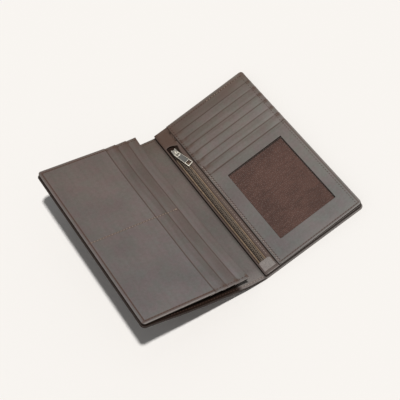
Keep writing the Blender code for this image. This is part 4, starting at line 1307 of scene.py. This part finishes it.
def build_far_strip(x_span):
    """The strip at the card panel's far end, which slopes down to the first slot."""
    far_y = (FAR_LOW[1], FAR_HIGH[1])
    width = far_y[1] - MOUTHS[0]

    def upper(x, y, d):
        """The strip's slope, drawn down along the seams."""
        side = np.minimum(x - x_span[0], x_span[1] - x)
        seams = groove(side, PANEL_STITCH) + groove(far_y[1] - y, FAR_STITCH)
        return PANEL_HIGH[2] - STEP / width * (far_y[1] - y) - seams + ripple(x, y, 0.06 * MM, 37.0 * MM)

    def lower(x, y, d):
        """The strip's underside, which is turned down at its outer edge."""
        rim = turned_rim(far_y[1] - y)
        return (upper(x, y, d) - LEATHER) * (1.0 - rim) + FAR_LOW[2] * rim

    points, faces, _ = slab(
        (x_span, far_y),
        ((THICK_EDGE, 9.0 * MM, 3.0 * MM), (THICK_EDGE, 5.0 * MM, 1.5 * MM)),
        upper,
        lower,
        0.28 * MM,
        ((1, 1),),
        fine=((), under_lip(MOUTHS[0])),
    )
    x, y = points[..., 0], points[..., 1]
    seam = far_y[1] - y
    masks = strip_masks(x, x_span, seam, width, len(MOUTHS), PANEL_STITCH, 1)
    masks["burnish"] = strongest(
        masks["burnish"],
        0.6 * ridge(seam - FAR_STITCH, 1.0 * MM),
        0.8 * ridge(x - x_span[0], 10.0 * MM),
        0.3 * after(seam, 2.0 * MM, 1.0 * MM),
    )
    masks["rim"] = 0.6 * ridge(seam, 1.0 * MM)
    # Painted shade along the first slot's mouth and along the edge beside the zip
    masks["ink"] = strongest(0.4 * before(width - seam, 1.3 * MM, 0.7 * MM), inner_shade(x, y))
    add_card_leather("slot_far_end", pressed(points), faces, "card_far_strip", masks)


def inner_shade(x, y):
    """The line of painted shade along the card panel's edge beside the zip, narrower towards the far end."""
    reach = 1.05 - 0.5 * after(y, TAPE_SHADE, 20.0 * MM)
    return before(x, PANEL_LOW[0] + reach * MM, 0.5 * MM)


def mouth_shade(from_mouth):
    """The line of painted shade at a panel's edge over a slot's mouth."""
    return 0.45 * before(from_mouth, 0.55 * MM, 0.4 * MM)


def under_lip(mouth):
    """Places just beyond a slot's mouth, where the strip below carries its darkest line of painted shade."""
    return mouth + np.linspace(0.0, 2.0, 9) * MM


def strip_masks(across, span, from_mouth, to_next, number, needle, shown):
    """A slot strip's masks, from the place across it, its distance from its own mouth and the next mouth's.

    Painted shade makes the strip dark just beyond the next slot's lip, painted light makes it pale just before
    it, and painted shade darkens it again towards its own lip. Near its sides the lines end in a browner
    patch, where the seam crosses the step. shown is the end, 0 or 1, that catches the light: it gets a painted
    highlight along its edge and a painted sheen a little way in, and the other end is painted a little darker.
    """
    side = np.minimum(across - span[0], span[1] - across)
    lit = np.abs(across - span[shown])
    inner = np.abs(across - span[1 - shown])
    beyond = to_next - from_mouth
    open_part = after(side, 4.5 * MM, 3.0 * MM)
    # Painted shade just beyond the next slot's lip
    shade = before(beyond, 1.9 * MM, 1.2 * MM) * (0.45 + 0.55 * open_part)
    step = strongest(ridge(from_mouth - 1.2 * MM, 1.6 * MM), ridge(beyond - 0.6 * MM, 1.6 * MM))
    patch = ridge(side - needle, 2.6 * MM) * step
    corner = ridge(inner - 7.0 * MM, 3.0 * MM) * ridge(from_mouth - 1.0 * MM, 1.6 * MM)
    seam = 0.35 * ridge(side - needle, 0.8 * MM)
    dash = 0.5 * ridge(side - needle - 0.8 * MM, 2.0 * MM) * ridge(beyond - 0.5 * MM, 0.6 * MM)
    uneven = open_part * (0.75 + 0.25 * np.sin(2 * math.pi * across / (29.0 * MM) + 2.4 * number))
    # Painted shade lines at the next slot's lip and at the strip's own lip
    next_line = 0.42 * before(beyond, 1.2 * MM, 0.8 * MM) * uneven
    own_line = 0.3 * before(from_mouth, 0.55 * MM, 0.4 * MM) * uneven
    # Painted light and shade: darker at the strip's own lip and lighter towards the next mouth, a painted
    # sheen near the lit end, and darker towards the other end
    rise = np.clip(from_mouth / to_next, 0.0, 1.0)
    painted_light = 0.55 * (1.6 * rise - 0.9) + 0.6 * ridge(lit - 10.0 * MM, 7.0 * MM) * rise
    painted_light = painted_light - 0.3 * ridge(inner, 16.0 * MM)
    return {
        "burnish": strongest(0.8 * shade, patch, 0.8 * corner, seam),
        # A pale rim at both ends, stronger at the lit end as a painted highlight
        "rim": 0.6 * ridge(lit, 0.5 * MM) + 0.3 * ridge(inner, 0.4 * MM),
        "ink": strongest(next_line, own_line, dash),
        "tone": STRIP_TONES[number] + painted_light + 0.45 * streaks(from_mouth, across, 1.7 * number),
    }


def build_window():
    """The panel with the window, the cloth behind it and the film in front of the cloth."""
    x_span, y_span = spans(PANEL_LOW, PANEL_HIGH)
    left, right, near, far = WINDOW_MARGINS
    window = ((x_span[0] + left, x_span[1] - right), (y_span[0] + near, y_span[1] - far))
    build_window_panel(x_span, y_span, *window)
    build_window_cloth(*window)
    low, high = flat_box("window_film")
    points, faces, _ = slab(
        spans(low, high),
        ((0.1 * MM, 2.0 * MM, 3.0 * MM),) * 2,
        lambda x, y, d: high[2] - 0.1 * MM + ripple(x, y, 0.04 * MM, 29.0 * MM, 0.8),
        lambda x, y, d: low[2] + ripple(x, y, 0.04 * MM, 29.0 * MM, 0.8),
        0.05 * MM,
    )
    film = film_material()
    add_piece("window_clear_film", pressed(points), faces, film, "right_half", ["window_film"])


def build_window_panel(x_span, y_span, window_x, window_y):
    """The panel: a profile of its edge, its seam, its face and the window's rim, carried round."""
    low = PANEL_LOW[2]
    high = PANEL_HIGH[2]
    under = high - LEATHER
    seam_rows = np.linspace(-1.2 * MM, 1.6 * MM, 8)
    profile = [
        ("outer", 0.3 * MM, under - 0.55 * MM),
        ("outer", 0.06 * MM, under - 0.4 * MM),
        ("outer", 0.0, under - 0.1 * MM),
        ("outer", 0.04 * MM, high - 0.35 * MM),
        ("outer", 0.16 * MM, high - 0.14 * MM),
        ("outer", 0.4 * MM, high - 0.03 * MM),
        ("outer", 0.8 * MM, high),
        *(("outer", PANEL_STITCH + shift, high - groove(shift, 0.0)) for shift in seam_rows),
        *(("between", share, high) for share in np.linspace(0.4, 1.0, 7)),
        ("inner", 0.25 * MM, high - 0.02 * MM),
        ("inner", 0.04 * MM, high - 0.14 * MM),
        ("inner", 0.0, high - 0.3 * MM),
        ("inner", 0.04 * MM, under + 0.08 * MM),
        ("inner", 0.2 * MM, under),
        ("outer", TURNED_RIM + 0.3 * MM, under),
        ("outer", TURNED_RIM, under - 0.2 * MM),
        ("outer", TURNED_RIM, under - 0.5 * MM),
    ]
    outer = (x_span, y_span, (SMALL_RADIUS, SMALL_RADIUS, SMALL_RADIUS, PANEL_RADIUS))
    points, faces = framed(profile, outer, (window_x, window_y, (0.8 * MM,) * 4))
    x, y, z = np.moveaxis(points, -1, 0)
    floor = np.where(y > y_span[1] - TURNED_RIM - 0.4 * MM, under - 0.1 * MM, low)
    z = np.maximum(z, floor)
    z = z + ripple(x, y, 0.05 * MM, 47.0 * MM) * (z > under + 0.05 * MM)
    points = pressed(np.stack((x, y, z), -1))
    distance = side_distance(x, y, x_span, y_span, "far")
    near = y - y_span[0]
    mouth = y_span[1] - y
    in_window = side_distance(x, y, window_x, window_y) > -0.12 * MM
    hidden = z < high - 0.42 * MM
    # Painted shade on the hidden walls near the edge, on the window's inner walls, along the edge beside the
    # zip and over the slot's mouth, and in the tone towards the mouth
    masks = {
        "burnish": 0.9 * ridge(distance - PANEL_STITCH, 0.5 * MM),
        "rim": (0.65 * ridge(distance, 0.8 * MM) + 0.25 * ridge(near - 4.9 * MM, 1.8 * MM)) * ~hidden,
        "ink": strongest(
            hidden * (distance < 3.0 * MM),
            in_window & (z < high - 0.05 * MM),
            inner_shade(x, y),
            mouth_shade(mouth),
        ),
        "tone": 0.12 * streaks(y, x, 5.1) - 0.5 * ridge(mouth, 3.0 * MM),
    }
    add_card_leather("window_surround", points, faces, "window_panel", masks)


def build_window_cloth(window_x, window_y):
    """The cloth stretched behind the window: a thin slab with soft ripples, in the shade along two edges."""
    cloth = weave_material("window_cloth", leather_of().cloth, 0.9 * MM)
    x_span, y_span = spans(CLOTH_LOW, CLOTH_HIGH)
    bottom = CLOTH_LOW[2] + 0.07 * MM
    points, faces, _ = slab(
        (x_span, y_span),
        ((0.1 * MM, 2.0 * MM, 2.0 * MM),) * 2,
        lambda x, y, d: bottom + 0.2 * MM + ripple(x, y, 0.06 * MM, 19.0 * MM),
        lambda x, y, d: bottom + ripple(x, y, 0.06 * MM, 19.0 * MM),
        0.08 * MM,
        fine=(window_x[1] - EDGE_SHADE, window_y[1] - EDGE_SHADE),
    )
    from_edge = np.minimum(window_x[1] - points[..., 0], window_y[1] - 0.6 * MM - points[..., 1])
    masks = {"ink": 0.9 * before(from_edge, 1.3 * MM, 0.6 * MM)}
    points = pressed(points)
    nodes = ["window_lining"]
    piece = add_piece("window_cloth", points, faces, cloth, "right_half", nodes, masks)


def middle_seam(x, y):
    """The brown line of the page's middle seam, up to the bar that ends it, and the stain round that bar."""
    line = 0.8 * ridge(y, 0.6 * MM) * before(x, BAR_PLACE + 1.0 * MM, 1.0 * MM)
    return strongest(line, 0.9 * ridge(x - BAR_PLACE, 1.6 * MM) * ridge(y + 0.6 * MM, 1.9 * MM))


def build_page():
    """The page's panel, its slot strips, and the thinner leather inside and behind."""
    for name, node, low, high, inset in (
        ("page_back", "page_lining", PAGE_BACK_LOW, PAGE_BACK_HIGH, 0.0),
        ("page_inside", "page_base", PAGE_BASE_LOW, PAGE_BASE_HIGH, 0.9 * MM),
    ):
        limits = spans(low, high, inset)
        points, faces, distance = slab(
            limits, BACKING_GRIDS, level(high[2]), level(low[2]), 0.2 * MM, ((-1, 1), (-1, -1))
        )
        # Painted shade round the edges, in the gaps between the layers
        masks = {"ink": before(distance, 2.0 * MM, 1.0 * MM)}
        add_piece(name, on_page(points), faces, lining_leather(), "page", [node], masks)
    build_page_strips()
    build_page_edge()
    build_page_face()


def build_page_strips():
    """The page's slot strips."""
    y_span = (PAGE_LOW[1], PAGE_HIGH[1])
    for number, (node, mouth) in enumerate(zip(PAGE_STRIPS, PAGE_MOUTHS)):
        strip_x = (flat_box(node, PAGE_ANGLE, PAGE_HINGE)[0][0], mouth)

        def upper(x, y, d, mouth=mouth, number=number):
            """The strip's slope, drawn down along the seams at its ends, with a soft lip at the mouth."""
            side = np.minimum(y - y_span[0], y_span[1] - y)
            slope = PAGE_HIGH[2] - STEP * (mouth - x) / PAGE_PITCH
            uneven = ripple(x, y, 0.04 * MM, 43.0 * MM, 0.9 * number)
            return slope - groove(side, EDGE_STITCH) - mouth_lip(mouth - x) + uneven

        points, faces, _ = slab(
            (strip_x, y_span),
            ((THIN_EDGE, 3.0 * MM, 1.3 * MM), (THIN_EDGE, 9.0 * MM, 3.5 * MM)),
            upper,
            lambda x, y, d: upper(x, y, d) - LEATHER,
            THIN_EDGE,
            fine=(under_lip(mouth - PAGE_PITCH), MIDDLE_ROWS),
        )
        x, y = points[..., 0], points[..., 1]
        masks = strip_masks(y, y_span, mouth - x, PAGE_PITCH, number, EDGE_STITCH, 0)
        darker = 1 - number
        masks["burnish"] = strongest(masks["burnish"], middle_seam(x, y), PAGE_STAIN * darker)
        masks["tone"] -= 0.2 * darker
        add_page_leather(f"page_slot_{number + 1}", points, faces, node, masks)


def build_page_edge():
    """The strip at the page's free edge, which slopes down to the first slot."""
    x_span = (PAGE_EDGE_LOW[0], PAGE_EDGE_HIGH[0])
    y_span = (PAGE_LOW[1], PAGE_HIGH[1])
    width = x_span[1] - PAGE_MOUTHS[0]

    def upper(x, y, d):
        """The strip's slope, drawn down along the seams at its ends."""
        side = np.minimum(y - y_span[0], y_span[1] - y)
        slope = PAGE_HIGH[2] - STEP / width * (x_span[1] - x)
        return slope - groove(side, EDGE_STITCH) + ripple(x, y, 0.05 * MM, 39.0 * MM)

    def lower(x, y, d):
        """The strip's underside, turned down at the free edge."""
        rim = turned_rim(x_span[1] - x)
        return (upper(x, y, d) - LEATHER) * (1.0 - rim) + (PAGE_EDGE_LOW[2] + 0.3 * MM) * rim

    points, faces, _ = slab(
        (x_span, y_span),
        ((THICK_EDGE, 4.0 * MM, 1.5 * MM), (THICK_EDGE, 9.0 * MM, 3.5 * MM)),
        upper,
        lower,
        0.28 * MM,
        fine=(under_lip(PAGE_MOUTHS[0]), MIDDLE_ROWS),
    )
    x, y = points[..., 0], points[..., 1]
    masks = strip_masks(y, y_span, x_span[1] - x, width, 4, EDGE_STITCH, 0)
    masks["burnish"] = strongest(masks["burnish"], middle_seam(x, y), PAGE_STAIN)
    masks["tone"] -= 0.1
    add_page_leather("page_free_edge", points, faces, "page_edge_strip", masks)


def build_page_face():
    """The page's large panel, sewn along three sides and down its middle."""
    x_span, y_span = spans(PAGE_LOW, PAGE_HIGH)

    def sewn(x, y):
        """Distance from the nearest of the three sewn sides."""
        return side_distance(x, y, x_span, y_span, "right")

    def upper(x, y, d):
        """The page's face, drawn down along its seams and where the pockets are divided."""
        seams = groove(sewn(x, y), EDGE_STITCH) + groove(y, 0.0) * before(x, x_span[1], 2.0 * MM)
        return PAGE_HIGH[2] - seams + ripple(x, y, 0.05 * MM, 61.0 * MM, 0.4)

    def lower(x, y, d):
        """The page's underside, turned down at its three sewn sides."""
        rim = turned_rim(sewn(x, y))
        return (upper(x, y, d) - LEATHER) * (1.0 - rim) + (PAGE_HIGH[2] - 1.25 * MM) * rim

    points, faces, _ = slab(
        (x_span, y_span),
        ((0.45 * MM, 5.0 * MM, 2.5 * MM), (0.45 * MM, 5.0 * MM, 3.5 * MM)),
        upper,
        lower,
        0.3 * MM,
        ((-1, 1), (-1, -1)),
        fine=((), MIDDLE_ROWS),
    )
    x, y = points[..., 0], points[..., 1]
    seam = sewn(x, y)
    near = y - y_span[0]
    mouth = x_span[1] - x
    masks = seam_masks(seam, EDGE_STITCH - 0.1 * MM, burnish=1.5)
    near_line = 0.9 * ridge(near - 2.2 * MM, 0.8 * MM)
    masks["burnish"] = strongest(masks["burnish"], middle_seam(x, y), near_line)
    # A pale rim along the sewn sides, and along the near edge a stronger pale rim that is a painted highlight
    masks["rim"] = 0.35 * ridge(seam, 0.6 * MM) + 0.65 * ridge(near - 0.3 * MM, 0.6 * MM)
    # Painted shade over the slot's mouth
    masks["ink"] = strongest(masks["ink"], mouth_shade(mouth))
    masks["tone"] = 0.2 * streaks(x, y, 2.9) + 0.15 * before(mouth, 9.0 * MM, 9.0 * MM)
    add_page_leather("page_face", points, faces, "page_panel", masks)


def stitches(path, normals):
    """Threads along a path: each a short tube, humped in the middle, with both ends drawn under the leather.

    A stitch's tube at a share t from -1 to 1 rises by cos(pi t / 2), its radius shrinks as the fourth power
    of t, and it is turned across the path by a small slant.
    """
    settings = thread_of()
    gaps = np.linalg.norm(np.diff(path, axis=0), axis=1)
    run = np.concatenate(([0.0], np.cumsum(gaps)))
    number = max(1, int(run[-1] / settings.pitch))
    middles = (np.arange(number) + 0.5) * run[-1] / number
    share = np.linspace(-1.0, 1.0, 9)
    around = np.linspace(0.0, 2 * math.pi, 7)[:-1]
    along = middles[:, None] + share * settings.length / 2
    centre = np.stack([np.interp(along, run, path[:, axis]) for axis in range(3)], -1)
    up = np.stack([np.interp(middles, run, normals[:, axis]) for axis in range(3)], -1)
    up = up / np.linalg.norm(up, axis=1, keepdims=True)
    way = centre[:, -1] - centre[:, 0]
    way = way / np.maximum(np.linalg.norm(way, axis=1, keepdims=True), TINY)
    across = np.cross(up, way)
    radius = settings.radius * (1.0 - 0.8 * share**4)
    rise = settings.radius * (1.15 * np.cos(share * math.pi / 2) - 0.55)
    slant = STITCH_SLANT * share * settings.length / 2
    centre = centre + up[:, None] * rise[:, None] + across[:, None] * slant[:, None]
    ring = across[:, None, None] * np.cos(around)[:, None] + up[:, None, None] * np.sin(around)[:, None]
    points = centre[:, :, None] + ring * radius[:, None, None]
    rows, sides = len(share), len(around)
    tube = grid_faces(rows, sides, wrap=(False, True))
    ends = np.array([[0, 1, 2, 3], [0, 3, 4, 5]])
    one = np.concatenate((tube, ends[:, ::-1], ends + (rows - 1) * sides))
    faces = (one[None] + (np.arange(number) * rows * sides)[:, None, None]).reshape(-1, 4)
    return points.reshape(-1, 3), faces


def sew(name, runs, material, body):
    """Join the stitches of several runs into one piece."""
    points = []
    faces = []
    start = 0
    for path, normals in runs:
        some_points, some_faces = stitches(path, normals)
        points.append(some_points)
        faces.append(some_faces + start)
        start += len(some_points)
    return add_piece(name, np.concatenate(points), np.concatenate(faces), material, body)


def straight(start, end):
    """Points along a straight line in the flat wallet."""
    start = np.array(start, float)
    end = np.array(end, float)
    amount = max(2, int(np.linalg.norm(end - start) / PATH_STEP))
    share = np.linspace(0.0, 1.0, amount)[:, None]
    return start * (1.0 - share) + end * share


def raised(flat, height):
    """Give flat points a height, a little under the leather's face, and an upward normal."""
    points = np.column_stack((flat, height - THREAD_SUNK))
    return points, np.tile((0.0, 0.0, 1.0), (len(points), 1))


def seam_sides(x_span, y_span, inset, radius):
    """The needle's path along the far, right, near and left side of a panel, up to its round corners."""
    x0, x1 = x_span[0] + inset, x_span[1] - inset
    y0, y1 = y_span[0] + inset, y_span[1] - inset
    corners = np.array(((x0, y1), (x1, y1), (x1, y0), (x0, y0)))
    bend = max(radius - inset, 0.6 * MM)
    sides = []
    for start, end in zip(corners, np.roll(corners, -1, axis=0)):
        way = (end - start) / np.linalg.norm(end - start)
        sides.append(straight(start + way * bend, end - way * bend))
    return sides


def build_stitching():
    """All the sewing: round the card panel, beside the zip, on the page and round the cover."""
    settings = thread_of()
    brown = thread_material("brown_thread", settings.brown)
    pale = thread_material("pale_thread", settings.pale)
    tan = thread_material("tan_thread", settings.tan)
    sew_card_panel(brown, pale, tan)
    zip_x = FOLD[0] + ZIP_STITCH_FROM_FOLD
    row = straight((zip_x, TAB_HIGH[1] + 1.0 * MM), (zip_x, TAPE_SHADE))
    close = row[:, 1] < ZIP_LIGHT
    for name, thread, part in (("far", tan, row[~close]), ("near", pale, row[close])):
        runs = [raised(part, np.full(len(part), ZIP_HIGH[2]))]
        sew(f"zip_stitches_{name}", runs, thread, "right_half")
    sew_page(brown, tan)
    sew_cover(brown, pale)


def sew_card_panel(brown, pale, tan):
    """The seam round the card panel. Where its far side catches the light its thread is a lighter copy, a
    painted highlight, and its split edge has a pale row of lit thread and a second, brown row of painted
    shade.
    """
    panel_x = (PANEL_LOW[0], PANEL_HIGH[0])
    panel_y = (PANEL_LOW[1], FAR_HIGH[1])
    far, right, near, left = seam_sides(panel_x, panel_y, PANEL_STITCH, PANEL_RADIUS)
    far = far + np.array((0.0, PANEL_STITCH - FAR_STITCH))
    right = right + np.array((PANEL_STITCH - OUTER_STITCH, 0.0))
    split = left[:, 1] < MOUTHS[-1] + 4.0 * MM
    # The far seam's lit part takes the lighter thread, a painted highlight
    lit = (far[:, 0] > FAR_LIGHT) & (far[:, 0] < panel_x[1] - 6.0 * MM)
    # The brown second row at the split edge is painted shade beside the pale, lit row
    second = left[split] + np.array((SPLIT_SHIFT, 0.0))
    for name, thread, rows in (
        ("brown", brown, (far[~lit], right, near, left[~split], second)),
        ("pale", pale, (left[split],)),
        ("tan", tan, (far[lit],)),
    ):
        runs = []
        for row in rows:
            height = stepped(row[:, 1], PANEL_HIGH[2], MOUTHS, SLOT_PITCH, FAR_HIGH[1])
            points, normals = raised(row, height - SEAM_DIP)
            runs.append((pressed(points), normals))
        sew(f"card_panel_stitches_{name}", runs, thread, "right_half")


def sew_page(brown, tan):
    """The seam round the page's three sewn sides, its middle seam and the bar that ends it."""
    low = PAGE_LOW + EDGE_STITCH
    high = PAGE_HIGH - EDGE_STITCH
    free = PAGE_EDGE_HIGH[0] - 1.2 * MM
    edge = (
        straight((free, high[1]), (low[0], high[1])),
        straight((low[0], high[1]), (low[0], low[1])),
        straight((low[0], low[1]), (free, low[1])),
    )
    bars = [BAR_PLACE + shift for shift in BAR_ROWS]
    middle = [straight((low[0], 0.0), (BAR_PLACE - 1.0 * MM, 0.0))]
    middle += [straight((place, -BAR_REACH), (place, BAR_REACH)) for place in bars]
    for name, thread, rows in (("edge", brown, edge), ("middle", tan, middle)):
        runs = []
        for row in rows:
            height = stepped(row[:, 0], PAGE_HIGH[2], PAGE_MOUTHS, PAGE_PITCH, PAGE_EDGE_HIGH[0])
            points, normals = raised(row, height - SEAM_DIP)
            runs.append((on_page(points), turned(normals, PAGE_ANGLE, (0.0, 0.0, 0.0))))
        sew(f"page_stitches_{name}", runs, thread, "page")


def sew_cover(brown, pale):
    """The sewing round the cover, on the lining and on the outside. It bends with the creases."""
    half = SPINE_WIDTH / 2
    near = NEAR + COVER_STITCH
    far = FAR - COVER_STITCH
    right = RIGHT_WIDTH - COVER_STITCH
    left = LEFT_END + COVER_STITCH
    shown_from = LEFT_END + PAGE_EDGE_HIGH[0] - 3.0 * MM
    outside = RIGHT_LOW[2] - FOLD[2] + 0.44 * MM
    for side, corners in (
        ("right", ((-half, near), (right, near), (right, far), (-half, far))),
        ("left", ((-half, far), (left, far), (left, near), (-half, near))),
    ):
        rows = [straight(start, end) for start, end in zip(corners, corners[1:])]
        for name, thread, slot, height, way in (
            ("lining", pale, "lining_leather", -LINING_DIP, 1.0),
            ("inside", brown, "lining_leather", -LINING_DIP, 1.0),
            ("cover", brown, "cover_leather", outside, -1.0),
        ):
            runs = []
            for row in rows:
                shown = (row[:, 0] > shown_from) & (row[:, 1] < 0.0)
                flat = row
                if way > 0.0:
                    flat = row[(row[:, 0] < 0.0) & (shown if name == "lining" else ~shown)]
                if len(flat) > 3:
                    points = np.column_stack((flat, np.full(len(flat), height)))
                    above = points + np.array([0.0, 0.0, way * MM])
                    runs.append((folded(points), (folded(above) - folded(points)) / MM))
            piece = sew(f"{name}_stitches_{side}", runs, thread, None)
            bend_at_crease(piece)


def build_stage():
    """The floor, the key light, the even fill and the camera."""
    settings = bpy.context.scene.wallet_stage
    scene = bpy.context.scene
    x, y = np.meshgrid((-FLOOR_REACH, FLOOR_REACH), (-FLOOR_REACH, FLOOR_REACH), indexing="ij")
    mesh = make_mesh("floor", np.stack((x, y, 0.0 * x), -1), grid_faces(2, 2))
    material, _, surface, _ = start_material("floor_paper")
    surface.inputs["Base Color"].default_value = rgba(settings.floor)
    surface.inputs["Roughness"].default_value = 1.0
    surface.inputs["Specular IOR Level"].default_value = 0.0
    mesh.materials.append(material)
    floor = bpy.data.objects.new("floor", mesh)
    scene.collection.objects.link(floor)
    lamp = bpy.data.lights.new("key_light", "SUN")
    lamp.energy = settings.sun
    lamp.angle = settings.sun_size
    key = bpy.data.objects.new("key_light", lamp)
    key.rotation_euler = Vector(settings.sun_from).to_track_quat("Z", "Y").to_euler()
    scene.collection.objects.link(key)
    scene.world = build_fill(settings)
    lens = bpy.data.cameras.new("camera")
    lens.lens = settings.camera_lens
    lens.sensor_width = SENSOR_WIDTH
    camera = bpy.data.objects.new("camera", lens)
    camera.location = settings.camera_place
    camera.rotation_euler = settings.camera_turn
    scene.collection.objects.link(camera)
    scene.camera = camera
    scene.view_settings.view_transform = "Standard"


def build_fill(settings):
    """The world: even light all round, seen by the camera and in reflections as the floor's colour."""
    world = bpy.data.worlds.new("studio")
    world.use_nodes = True
    tree = world.node_tree
    rays = add_node(tree, "ShaderNodeLightPath").outputs
    seen = count(tree, "MAXIMUM", rays["Is Camera Ray"], rays["Is Glossy Ray"])
    seen = count(tree, "MAXIMUM", seen, rays["Is Transmission Ray"])
    background = tree.nodes["Background"]
    shade = mix_colours(tree, seen, rgba(settings.fill), rgba(settings.floor))
    tree.links.new(shade, background.inputs["Color"])
    tree.links.new(ramp(tree, seen, 0.0, 1.0, settings.sky, 1.0), background.inputs["Strength"])
    return world


class WALLET_OT_cover(bpy.types.Operator):
    """Build the outer leather and its lining, bending at both creases"""

    bl_idname = "wallet.cover"
    bl_label = "Cover"

    def execute(self, context):
        build_cover()
        return {"FINISHED"}


class WALLET_OT_zip_panel(bpy.types.Operator):
    """Build the leather round the zip, its end tab and the coin pouch"""

    bl_idname = "wallet.zip_panel"
    bl_label = "Zip panel"

    def execute(self, context):
        build_zip_panel()
        return {"FINISHED"}


class WALLET_OT_zip(bpy.types.Operator):
    """Build the zip's woven tapes and finish its metal parts"""

    bl_idname = "wallet.zip"
    bl_label = "Zip"

    def execute(self, context):
        build_zip()
        return {"FINISHED"}


class WALLET_OT_card_pockets(bpy.types.Operator):
    """Build the card slots of the right half"""

    bl_idname = "wallet.card_pockets"
    bl_label = "Card pockets"

    def execute(self, context):
        build_card_pockets()
        return {"FINISHED"}


class WALLET_OT_window(bpy.types.Operator):
    """Build the identity window, its cloth and its film"""

    bl_idname = "wallet.window"
    bl_label = "Identity window"

    def execute(self, context):
        build_window()
        return {"FINISHED"}


class WALLET_OT_page(bpy.types.Operator):
    """Build the left page and its slots"""

    bl_idname = "wallet.page"
    bl_label = "Page"

    def execute(self, context):
        build_page()
        return {"FINISHED"}


class WALLET_OT_stitching(bpy.types.Operator):
    """Sew every seam"""

    bl_idname = "wallet.stitching"
    bl_label = "Stitching"

    def execute(self, context):
        build_stitching()
        return {"FINISHED"}


class WALLET_OT_stage(bpy.types.Operator):
    """Set up the floor, the light and the camera"""

    bl_idname = "wallet.stage"
    bl_label = "Stage"

    def execute(self, context):
        build_stage()
        return {"FINISHED"}


OPERATORS = (
    WALLET_OT_cover,
    WALLET_OT_zip_panel,
    WALLET_OT_zip,
    WALLET_OT_card_pockets,
    WALLET_OT_window,
    WALLET_OT_page,
    WALLET_OT_stitching,
    WALLET_OT_stage,
)
SETTINGS = {
    "wallet_leather": WalletLeather,
    "wallet_thread": WalletThread,
    "wallet_zip": WalletZip,
    "wallet_stage": WalletStage,
}


class WALLET_PT_panel(bpy.types.Panel):
    """The wallet's settings and pieces, in the 3D view's sidebar"""

    bl_label = "Wallet"
    bl_idname = "WALLET_PT_panel"
    bl_space_type = "VIEW_3D"
    bl_region_type = "UI"
    bl_category = "Wallet"

    def draw(self, context):
        for name, group in SETTINGS.items():
            box = self.layout.box()
            for setting in group.__annotations__:
                box.prop(getattr(context.scene, name), setting)
        for operator in OPERATORS:
            self.layout.operator(operator.bl_idname)


def register():
    """Make the settings, the operators and the panel known."""
    for group in SETTINGS.values():
        bpy.utils.register_class(group)
    for operator in OPERATORS:
        bpy.utils.register_class(operator)
    bpy.utils.register_class(WALLET_PT_panel)
    for name, group in SETTINGS.items():
        setattr(bpy.types.Scene, name, bpy.props.PointerProperty(type=group))


def unregister():
    """Take them away again."""
    for name in SETTINGS:
        delattr(bpy.types.Scene, name)
    bpy.utils.unregister_class(WALLET_PT_panel)
    for operator in reversed(OPERATORS):
        bpy.utils.unregister_class(operator)
    for group in reversed(SETTINGS.values()):
        bpy.utils.unregister_class(group)


def main():
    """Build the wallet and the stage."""
    register()
    for operator in OPERATORS:
        family, name = operator.bl_idname.split(".")
        getattr(getattr(bpy.ops, family), name)()


if __name__ == "__main__":
    main()
